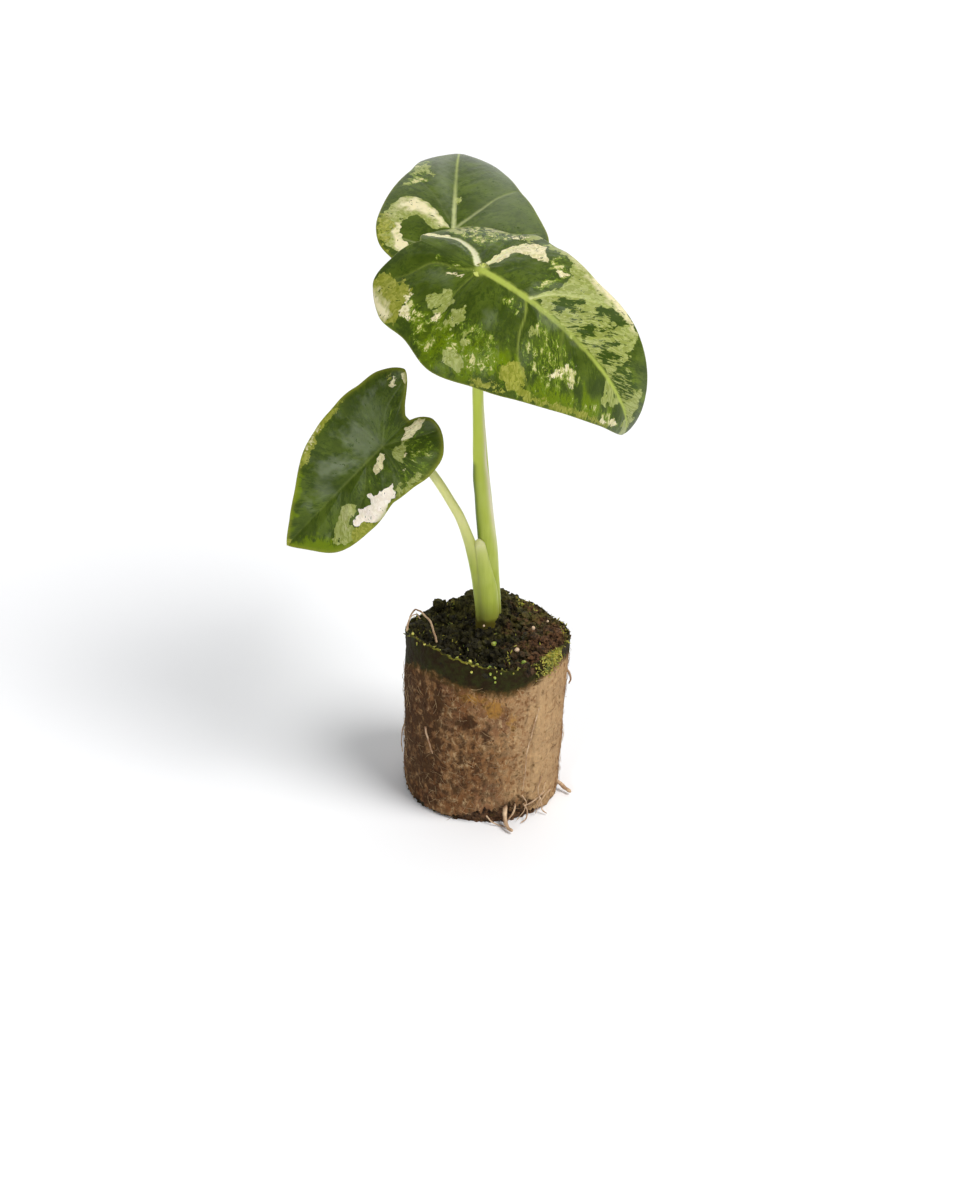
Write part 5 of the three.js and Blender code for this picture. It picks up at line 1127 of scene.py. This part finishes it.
fleck = add(tree, "ShaderNodeMath", {0: fleck, 1: 0.2, 2: streaks}, operation="MULTIPLY_ADD")
fleck = add(tree, "ShaderNodeMath", {0: small_cells[1], 1: 0.12, 2: fleck}, operation="MULTIPLY_ADD")
fleck = add(tree, "ShaderNodeMapRange", {0: fleck, 1: 0.70, 2: 0.715})
fleck_tone = add(tree, "ShaderNodeMix", {0: 0.85, 6: green, 7: linear("#34480f")}, 2, data_type="RGBA")
tissue = add(tree, "ShaderNodeMix", {0: fleck, 6: tissue, 7: fleck_tone}, 2, data_type="RGBA")
ribbed = add(tree, "ShaderNodeAttribute", attribute_name="vein", out="Fac")
rib_tone = add(tree, "ShaderNodeAttribute", attribute_name="rib_tone", out="Fac")
rib = add(tree, "ShaderNodeMix", {0: rib_tone, 6: linear("#a8b652"), 7: linear("#c2c890")}, 2,
          data_type="RGBA")
creamy = add(tree, "ShaderNodeAttribute", attribute_name="cream_rib", out="Fac")
rib = add(tree, "ShaderNodeMix", {0: creamy, 6: rib, 7: linear("#e2dfbd")}, 2, data_type="RGBA")
dappled = add(tree, "ShaderNodeMapRange", {0: fine, 1: 0.56, 2: 0.66, 4: 0.35})
rib = add(tree, "ShaderNodeMix", {0: dappled, 6: rib, 7: linear("#6f8430")}, 2, data_type="RGBA")
tissue = add(tree, "ShaderNodeMix", {0: ribbed, 6: tissue, 7: rib}, 2, data_type="RGBA")
edging = add(tree, "ShaderNodeAttribute", attribute_name="edging", out="Fac")
edging = add(tree, "ShaderNodeMath", {0: edging, 1: 0.7}, operation="MULTIPLY")
tissue = add(tree, "ShaderNodeMix", {0: edging, 6: tissue, 7: linear("#8d9330")}, 2, data_type="RGBA")
beneath = add(tree, "ShaderNodeAttribute", attribute_name="underside", out="Fac")
beneath = add(tree, "ShaderNodeMath", {0: beneath, 1: 0.55}, operation="MULTIPLY")
tissue = add(tree, "ShaderNodeMix", {0: beneath, 6: tissue, 7: linear("#8f9c60")}, 2, data_type="RGBA")
satin = add(tree, "ShaderNodeMapRange", {0: fine, 1: 0.3, 2: 0.7, 3: 0.28, 4: 0.38})
cell_walls = add(tree, "ShaderNodeTexVoronoi", {0: flat, "Scale": 1.9}, feature="DISTANCE_TO_EDGE")
cell_walls = add(tree, "ShaderNodeMapRange", {0: cell_walls, 2: 0.22})
pores = add(tree, "ShaderNodeMath", {0: fine, 1: 0.5, 2: cell_walls}, operation="MULTIPLY_ADD")
skin = add(tree, "ShaderNodeBump", {"Height": pores, "Strength": 0.25, "Distance": 0.05 * MM})
fill(shader, {"Base Color": tissue, "Roughness": satin, "Normal": skin, "IOR": 1.4,
              "Specular IOR Level": 0.2, "Subsurface Weight": 0.15, "Subsurface Radius": (0.6, 1.0, 0.1),
              "Subsurface Scale": 0.5 * MM})

row_shares = np.concatenate([np.linspace(0, 0.982, BLADE["rows"] - 3), [0.992, 0.997, 1.0]])
column_angles = 180 * np.linspace(0, 1, BLADE["columns"]) ** 1.4
for leaf_name, leaf in LEAVES.items():
    joint, angles = JOINTS[leaf_name]
    leaf["joint"], leaf["axes"] = np.array(joint), blade_axes(*angles)
    tip_reach, sinus_reach = leaf["right"]["reach"][0], leaf["right"]["reach"][-1]
    share = smooth_through(FOOT_ANGLES, FOOT_SHARES)(column_angles)
    foot_y = share * np.where(share > 0, tip_reach, sinus_reach)
    halves, outlines = [], []
    for side, half in ((1, leaf["right"]), (-1, leaf["left"])):
        reach = smooth_through(MARGIN_ANGLES, half["reach"])(column_angles)
        margin = np.stack([side * reach * np.sin(np.radians(column_angles)),
                           reach * np.cos(np.radians(column_angles))], -1)
        margin[-1, 0] = 0
        start = np.stack([np.zeros_like(foot_y), foot_y], -1)
        grid = start[:, None] + (margin - start)[:, None] * row_shares[None, :, None]
        halves.append(grid.reshape(-1, 2))
        outlines.append(margin)
    flat = np.concatenate(halves)
    side = np.repeat([1, -1], len(halves[0]))
    outline = np.concatenate([outlines[0], outlines[1][::-1]])
    to_edge = segments_distance(flat, outline)[0]

    width, pale = leaf["midrib"]
    from_midrib = np.abs(flat[:, 0])
    slim = np.clip(1 - 0.85 * np.abs(flat[:, 1]) / tip_reach, 0.2, 1)
    uneven = 1 + 0.12 * ripples(flat, 2.5, 83) + 0.08 * ripples(flat, 1.1, 84)
    band = np.clip((width * slim * uneven - from_midrib) / 0.4 + 0.5, 0, 1)
    dip = 1 - 0.45 * np.exp(-((flat[:, 1] - 21) / 8) ** 2)
    vein = pale * band * np.clip(1 + flat[:, 1] / 1.6, 0, 1) * dip
    cream_rib = np.zeros(len(flat))
    nearest, groove = from_midrib.copy(), BLADE["groove"] * np.exp(-(from_midrib / 0.55) ** 2)
    under_rib = BLADE["keel"] * np.exp(-(from_midrib / 0.85) ** 2) * slim
    for width, pale, path in leaf["veins"]:
        path = smooth_path([(x, y, 0) for x, y in path], np.linspace(0, len(path) - 1, 9 * len(path)))[:, :2]
        distance, walked = segments_distance(flat, path)
        slimmer = 1 - 0.5 * walked
        band = np.clip((width * slimmer * uneven - distance) / 0.35 + 0.5, 0, 1)
        vein = np.maximum(vein, min(pale, 1) * band * (1 - 0.5 * walked))
        cream_rib = np.maximum(cream_rib, max(pale - 1, 0) * band)
        groove = np.maximum(groove, BLADE["side_groove"] * np.exp(-(distance / 0.35) ** 2))
        side_rib = BLADE["side_keel"] * slimmer * np.exp(-(distance / 0.5) ** 2)
        under_rib = np.maximum(under_rib, side_rib)
        nearest = np.minimum(nearest, distance)
    half_width, pale = leaf["midrib"]
    at_joint = np.exp(-(np.hypot(*flat.T) / (2.2 * half_width)) ** 4)
    vein = np.maximum(vein, 0.8 * pale * at_joint)

    angle = np.arctan2(from_midrib, flat[:, 1])
    reach = np.where(side > 0, *(smooth_through(MARGIN_ANGLES, leaf[h]["reach"])(np.degrees(angle))
                                 for h in ("right", "left")))
    outward = np.clip(np.linalg.norm(flat, axis=1) / reach, 0, 1)
    swell = leaf["quilt"] * (1 - np.exp(-(nearest / leaf["shoulder"]) ** 2)) * (1 - outward ** 6)
    height, count, phase = leaf["wave"]
    wave = height * outward ** 4 * np.sin(angle) * np.sin(count * angle + phase * side)
    above = flat[:, 1] > 0
    turned = -12 * np.arctan2(-flat[:, 1], from_midrib + 0.01)
    veinwise = np.stack([np.sign(flat[:, 0]) * np.where(above, from_midrib, np.hypot(*flat.T)),
                         np.where(above, flat[:, 1] / (1 + 0.05 * from_midrib), turned)], -1)
    pucker = 0.07 * ripples(veinwise * [0.6, 1.5], 3.0, 81) + 0.035 * ripples(flat, 1.6, 82)
    pucker *= leaf["pucker"] * np.clip(nearest / 1.2, 0, 1) * (1 - outward ** 8)
    normal = facing_out(leaf, flat)
    middle = bent(leaf, flat) + normal * (swell + wave + pucker - groove)[:, None]
    round_edge = np.sqrt(np.clip(1 - (1 - np.clip(to_edge / BLADE["edge"], 0, 1)) ** 2, 0.03, 1))
    half_thick = BLADE["thickness"] / 2 * round_edge
    upper = middle + normal * half_thick[:, None]
    lower = middle - normal * (half_thick + under_rib * round_edge)[:, None]

    count = len(halves[0])
    grid = np.arange(count).reshape(BLADE["columns"], BLADE["rows"])
    a, b, c, d = grid[:-1, :-1], grid[:-1, 1:], grid[1:, 1:], grid[1:, :-1]
    quads = np.stack([a, b, c, d], -1).reshape(-1, 4)
    edge_top = grid[:, -1]
    total = len(flat)
    rim_quads = np.stack([edge_top[:-1], edge_top[:-1] + total, edge_top[1:] + total, edge_top[1:]], -1)
    right_side = np.concatenate([quads[:, ::-1], quads + total, rim_quads[:, ::-1]])
    left_side = np.concatenate([quads, quads[:, ::-1] + total, rim_quads]) + count
    points = np.concatenate([upper, lower])
    kept, faces = welded(points, np.concatenate([right_side, left_side]))

    wobble = 0.4 * np.stack([ripples(flat, 2.6, 85), ripples(flat, 2.6, 86)], -1)
    wobble += 0.2 * np.stack([ripples(flat, 1.2, 87), ripples(flat, 1.2, 88)], -1)
    fields = {"vein": np.maximum(vein, cream_rib), "cream_rib": cream_rib,
              "edging": np.exp(-(to_edge / leaf["edging"]) ** 2)}
    for kind in ("bright", "speck", "sage", "lime", "cream", "white", "fleck", "painted_highlight", "fade"):
        fields[kind] = np.zeros(total)
    for kind, strength, soft, shape in MARKINGS[leaf_name]:
        strayed = flat + wobble * min(1, soft / 0.6)
        depth = np.clip(0.5 + inside_outline(strayed, shape) / (2 * soft), 0, 1)
        fields[kind] = np.maximum(fields[kind], strength * depth)
    fields = {label: np.tile(values, 2)[kept] for label, values in fields.items()}
    fields["rib_tone"] = leaf["rib_tone"] * np.clip(1.5 - np.tile(flat[:, 1], 2)[kept] / 20, 0, 1)
    fields["underside"] = np.repeat([0.0, 1.0], total)[kept]
    blade = piece(f"leaf_{leaf_name}", points[kept], faces, leaf_tissue,
                  "leaf_dark" if leaf_name == "back" else "leaf", fields,
                  {"leaf": np.tile(flat / 100 + 0.5, (2, 1))[kept],
                   "veinwise": np.tile(veinwise / 100 + 0.5, (2, 1))[kept]})
    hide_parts(f"blade_{leaf_name}")

# ---- Moss and grit ----
# Cushions of young moss and beads of algae on the wet rim and crumbs, and pale grains of grit and
# fertiliser that lie on the soil. They are the smallest things on the plug and the brightest.
MOSS_PATCHES = [(14.4, -8.6, 2.6), (17.2, 1.5, 1.8), (-9.5, 11.5, 2.0), (6.5, 14.0, 3.4), (4.5, -9.5, 1.2),
                (-15.0, -6.5, 1.3)]
# Grains and beads: x, y, z and radius.
GRIT = [(-0.9, -1.0, 39.0, 0.24), (6.2, -8.5, 37.9, 0.48), (9.5, 0.2, 38.4, 0.40), (12.5, 3.0, 38.6, 0.26)]
BEADS = [(1.4, -5.2, 37.2, 0.50), (7.7, -12.9, 37.4, 0.52), (-6.1, -14.6, 38.8, 0.26),
         (-3.4, -15.4, 38.6, 0.34), (-1.9, -15.9, 38.2, 0.34), (0.7, -16.1, 37.9, 0.30),
         (-12.9, -10.4, 39.2, 0.24), (-9.7, -12.9, 39.3, 0.26), (1.9, -17.2, 36.0, 0.26),
         (0.9, -17.3, 37.0, 0.30), (2.0, -17.2, 35.0, 0.24), (-3.0, -16.9, 37.0, 0.24),
         (-15.6, -5.4, 38.8, 0.26), (3.1, -16.6, 36.9, 0.24)]

bead_tree, given = new_tree("place_beads", {"Roughness": "Float", "Material": "Material"})
cloud = add(bead_tree, "GeometryNodeMeshToPoints", {"Mesh": given["Geometry"]})
sized = add(bead_tree, "GeometryNodeInputNamedAttribute", {"Name": "size"}, data_type="FLOAT")
ball = add(bead_tree, "GeometryNodeMeshIcoSphere", {"Radius": 1.0, "Subdivisions": 3})
scattered(bead_tree, given, {"Points": cloud, "Instance": ball, "Scale": sized}, 1900.0, 2)

moss_tree, given = new_tree("grow_moss", {
    "Leaf length": "Float", "Per square metre": "Float", "Seed": "Int", "Material": "Material"})
allowed = add(moss_tree, "GeometryNodeInputNamedAttribute", {"Name": "mossy"}, data_type="FLOAT")
spots = add(moss_tree, "GeometryNodeDistributePointsOnFaces", {
    "Mesh": given["Geometry"], "Distance Min": 0.00012, "Density Max": given["Per square metre"],
    "Density Factor": allowed, "Seed": given["Seed"]}, distribute_method="POISSON")
facing = spots.node.outputs["Rotation"]
girth = add(moss_tree, "ShaderNodeMath", {0: given["Leaf length"], 1: 0.3}, operation="MULTIPLY")
moss_leaf = add(moss_tree, "GeometryNodeMeshCone", {
    "Vertices": 5, "Side Segments": 2, "Radius Bottom": girth, "Radius Top": 0.00001,
    "Depth": given["Leaf length"]})
lean = add(moss_tree, "FunctionNodeRandomValue", {0: (-0.9, -0.9, 0), 1: (0.9, 0.9, 6.28),
                                                  "Seed": given["Seed"]},
           data_type="FLOAT_VECTOR")
turned = add(moss_tree, "FunctionNodeRotateRotation", {0: facing, 1: lean}, rotation_space="LOCAL")
size = add(moss_tree, "FunctionNodeRandomValue", {2: 0.5, 3: 1.4, "Seed": given["Seed"]}, 1)
scattered(moss_tree, given, {"Points": spots, "Instance": moss_leaf, "Rotation": turned, "Scale": size})

# Moss: one cell thick, so light passes through it. Olive in the shade, yellow-green at the tips.
moss_green, tree, shader = surface("moss")
place = add(tree, "ShaderNodeTexCoord", out="Object")
tone = add(tree, "ShaderNodeTexNoise", {0: place, "Scale": 700, "Detail": 3})
tone = add(tree, "ShaderNodeMapRange", {0: tone, 1: 0.35, 2: 0.65})
tuft = add(tree, "ShaderNodeMix", {0: tone, 6: linear("#4d5415"), 7: linear("#b7b048")}, 2, data_type="RGBA")
fill(shader, {"Base Color": tuft, "Roughness": 0.7, "Subsurface Weight": 0.2,
              "Subsurface Scale": 0.3 * MM})

# Algae bead: a wet jelly drop, bright green, glossy.
algae_bead, tree, shader = surface("algae_bead")
place = add(tree, "ShaderNodeTexCoord", out="Object")
tone = add(tree, "ShaderNodeTexNoise", {0: place, "Scale": 340, "Detail": 2})
tone = add(tree, "ShaderNodeMapRange", {0: tone, 1: 0.4, 2: 0.6})
jelly = add(tree, "ShaderNodeMix", {0: tone, 6: linear("#768f24"), 7: linear("#c8c660")}, 2, data_type="RGBA")
fill(shader, {"Base Color": jelly, "Roughness": 0.3, "Subsurface Weight": 0.1,
              "Subsurface Scale": 0.3 * MM})

# Grit: crushed pumice, dull off-white with a warm tint.
pale_grit, tree, shader = surface("pumice_grit")
place = add(tree, "ShaderNodeTexCoord", out="Object")
tone = add(tree, "ShaderNodeTexNoise", {0: place, "Scale": 900, "Detail": 3})
chalk = add(tree, "ShaderNodeMix", {0: tone, 6: linear("#b98f6c"), 7: linear("#e6d4b8")}, 2, data_type="RGBA")
fill(shader, {"Base Color": chalk, "Roughness": 0.75})

for name, spots, material in (("pale_grit", GRIT, pale_grit), ("algae_beads", BEADS, algae_bead)):
    spots = np.array(spots)
    holder = bpy.data.meshes.new(name + "_places")
    holder.from_pydata((spots[:, :3] * MM).tolist(), [], [])
    hold(holder, "size", spots[:, 3].astype(np.float32) * MM)
    carrier = bpy.data.objects.new(name + "_places", holder)
    bpy.context.scene.collection.objects.link(carrier)
    grown(name, carrier, bead_tree, {"Roughness": 0.45 * MM, "Material": material}, material)
    bpy.data.objects.remove(carrier)

for holder, low in ((soil, 0.0), (sleeve, 34.5)):
    places = np.zeros(len(holder.data.vertices) * 3, np.float32)
    holder.data.vertices.foreach_get("co", places)
    places = places.reshape(-1, 3) / MM
    mossy = np.zeros(len(places))
    for x, y, spread in MOSS_PATCHES:
        mossy = np.maximum(mossy, np.exp(-((places[:, 0] - x) ** 2 + (places[:, 1] - y) ** 2) / spread ** 2))
    if holder is soil:
        mossy = np.where(on_top > 0, mossy ** 1.5 + 0.015, 0)
    else:
        tufts = np.exp(-((around_sleeve + 40) / 9) ** 2 - (below_rim / 2.4) ** 2)
        mossy = np.maximum(tufts, 0.06 * np.exp(-(below_rim / 0.4) ** 2))
    hold(holder.data, "mossy", mossy)
    grown("moss_on_" + ("soil" if holder is soil else "rim"), holder, moss_tree, {
        "Leaf length": 0.62 * MM, "Per square metre": 13e6, "Seed": 17, "Material": moss_green}, moss_green)

# ---- Studio ----
# A wide pale floor before a white backdrop. A large window high on the right gives the light its
# direction; a smaller one, low in front, puts the satin lights on the lowest leaf.
floor_mesh = bpy.data.meshes.new("studio_floor")
reach = 8.0
floor_mesh.from_pydata([(-reach, -reach, 0), (reach, -reach, 0), (reach, reach, 0), (-reach, reach, 0)], [],
                       [(0, 1, 2, 3)])
floor_paint, tree, shader = surface("matt_white_paint")
place = add(tree, "ShaderNodeTexCoord", out="Object")
tone = add(tree, "ShaderNodeTexNoise", {0: place, "Scale": 3.0, "Detail": 2})
paint = add(tree, "ShaderNodeMix", {0: tone, 6: linear("#f2f4f8"), 7: linear("#f7f9fd")}, 2, data_type="RGBA")
fill(shader, {"Base Color": paint, "Roughness": 0.9})
floor_mesh.materials.append(floor_paint)
floor = bpy.data.objects.new("studio_floor", floor_mesh)
bpy.context.scene.collection.objects.link(floor)

# The white backdrop behind the plant is the brightest part of the sky; the room in front is dim.
ROOM = {"front": 0.16, "back": 1.05}
sky = bpy.data.worlds.new("studio_sky")
sky.use_nodes = True
tree = sky.node_tree
seen = add(tree, "ShaderNodeTexCoord", out="Generated")
seen = add(tree, "ShaderNodeSeparateXYZ", {0: seen}).node.outputs
glow = add(tree, "ShaderNodeMapRange", {0: seen[1], 1: -0.1, 2: 0.9, 3: ROOM["front"], 4: ROOM["back"]})
horizon = add(tree, "ShaderNodeMapRange", {0: seen[2], 1: 0.06, 2: 0.02, 4: ROOM["back"]})
glow = add(tree, "ShaderNodeMath", {0: glow, 1: horizon}, operation="MAXIMUM")
fill(tree.nodes["Background"], {"Strength": glow, "Color": linear("#ffffff")})
bpy.context.scene.world = sky
bpy.context.scene.view_settings.view_transform = "Standard"

# Windows, far off and wide: azimuth, height and width in degrees, strength in watts a square metre, tint.
LIGHTS = [("window", -28, 56, 34, 2.7, "#fffcf8"), ("front_window", -112, 20, 12, 0.8, "#ffffff")]
for name, azimuth, height, width, power, tint in LIGHTS:
    lamp = bpy.data.lights.new(name, "SUN")
    lamp.angle = math.radians(width)
    lamp.energy = power
    lamp.color = linear(tint)[:3]
    holder = bpy.data.objects.new(name, lamp)
    azimuth, height = math.radians(azimuth), math.radians(height)
    shines_from = Vector((math.cos(azimuth) * math.cos(height), math.sin(azimuth) * math.cos(height),
                          math.sin(height)))
    holder.rotation_euler = shines_from.to_track_quat("Z", "Y").to_euler()
    bpy.context.scene.collection.objects.link(holder)

# The camera looks down on the plug by 29 degrees, 600 mm off, and leans a little to one side.
LOOK_DOWN, LEAN, DISTANCE = math.radians(29.0), math.radians(2.8), 600.0
FOCAL_PIXELS, FRAME_WIDTH, FRAME_HEIGHT = 2854.3, 960, 1200
AIM, AIM_AT = (0, 0, 37.0), (487.8, 632.0)
level_up = Vector((0, math.sin(LOOK_DOWN), math.cos(LOOK_DOWN)))
ahead = Vector((0, math.cos(LOOK_DOWN), -math.sin(LOOK_DOWN)))
right = Vector((1, 0, 0)) * math.cos(LEAN) + level_up * math.sin(LEAN)
upright = level_up * math.cos(LEAN) - Vector((1, 0, 0)) * math.sin(LEAN)
aside = (AIM_AT[0] - FRAME_WIDTH / 2) / FOCAL_PIXELS * DISTANCE
above = -(AIM_AT[1] - FRAME_HEIGHT / 2) / FOCAL_PIXELS * DISTANCE
eye = Vector(AIM) - right * aside - upright * above - ahead * DISTANCE
camera = bpy.data.cameras.new("camera")
camera.sensor_width = 36.0
camera.lens = FOCAL_PIXELS * camera.sensor_width / FRAME_HEIGHT
camera.clip_start, camera.clip_end = 0.01, 20.0
viewer = bpy.data.objects.new("camera", camera)
viewer.matrix_world = Matrix.Translation(eye * MM) @ Matrix((right, upright, -ahead)).transposed().to_4x4()
bpy.context.scene.collection.objects.link(viewer)
bpy.context.scene.camera = viewer
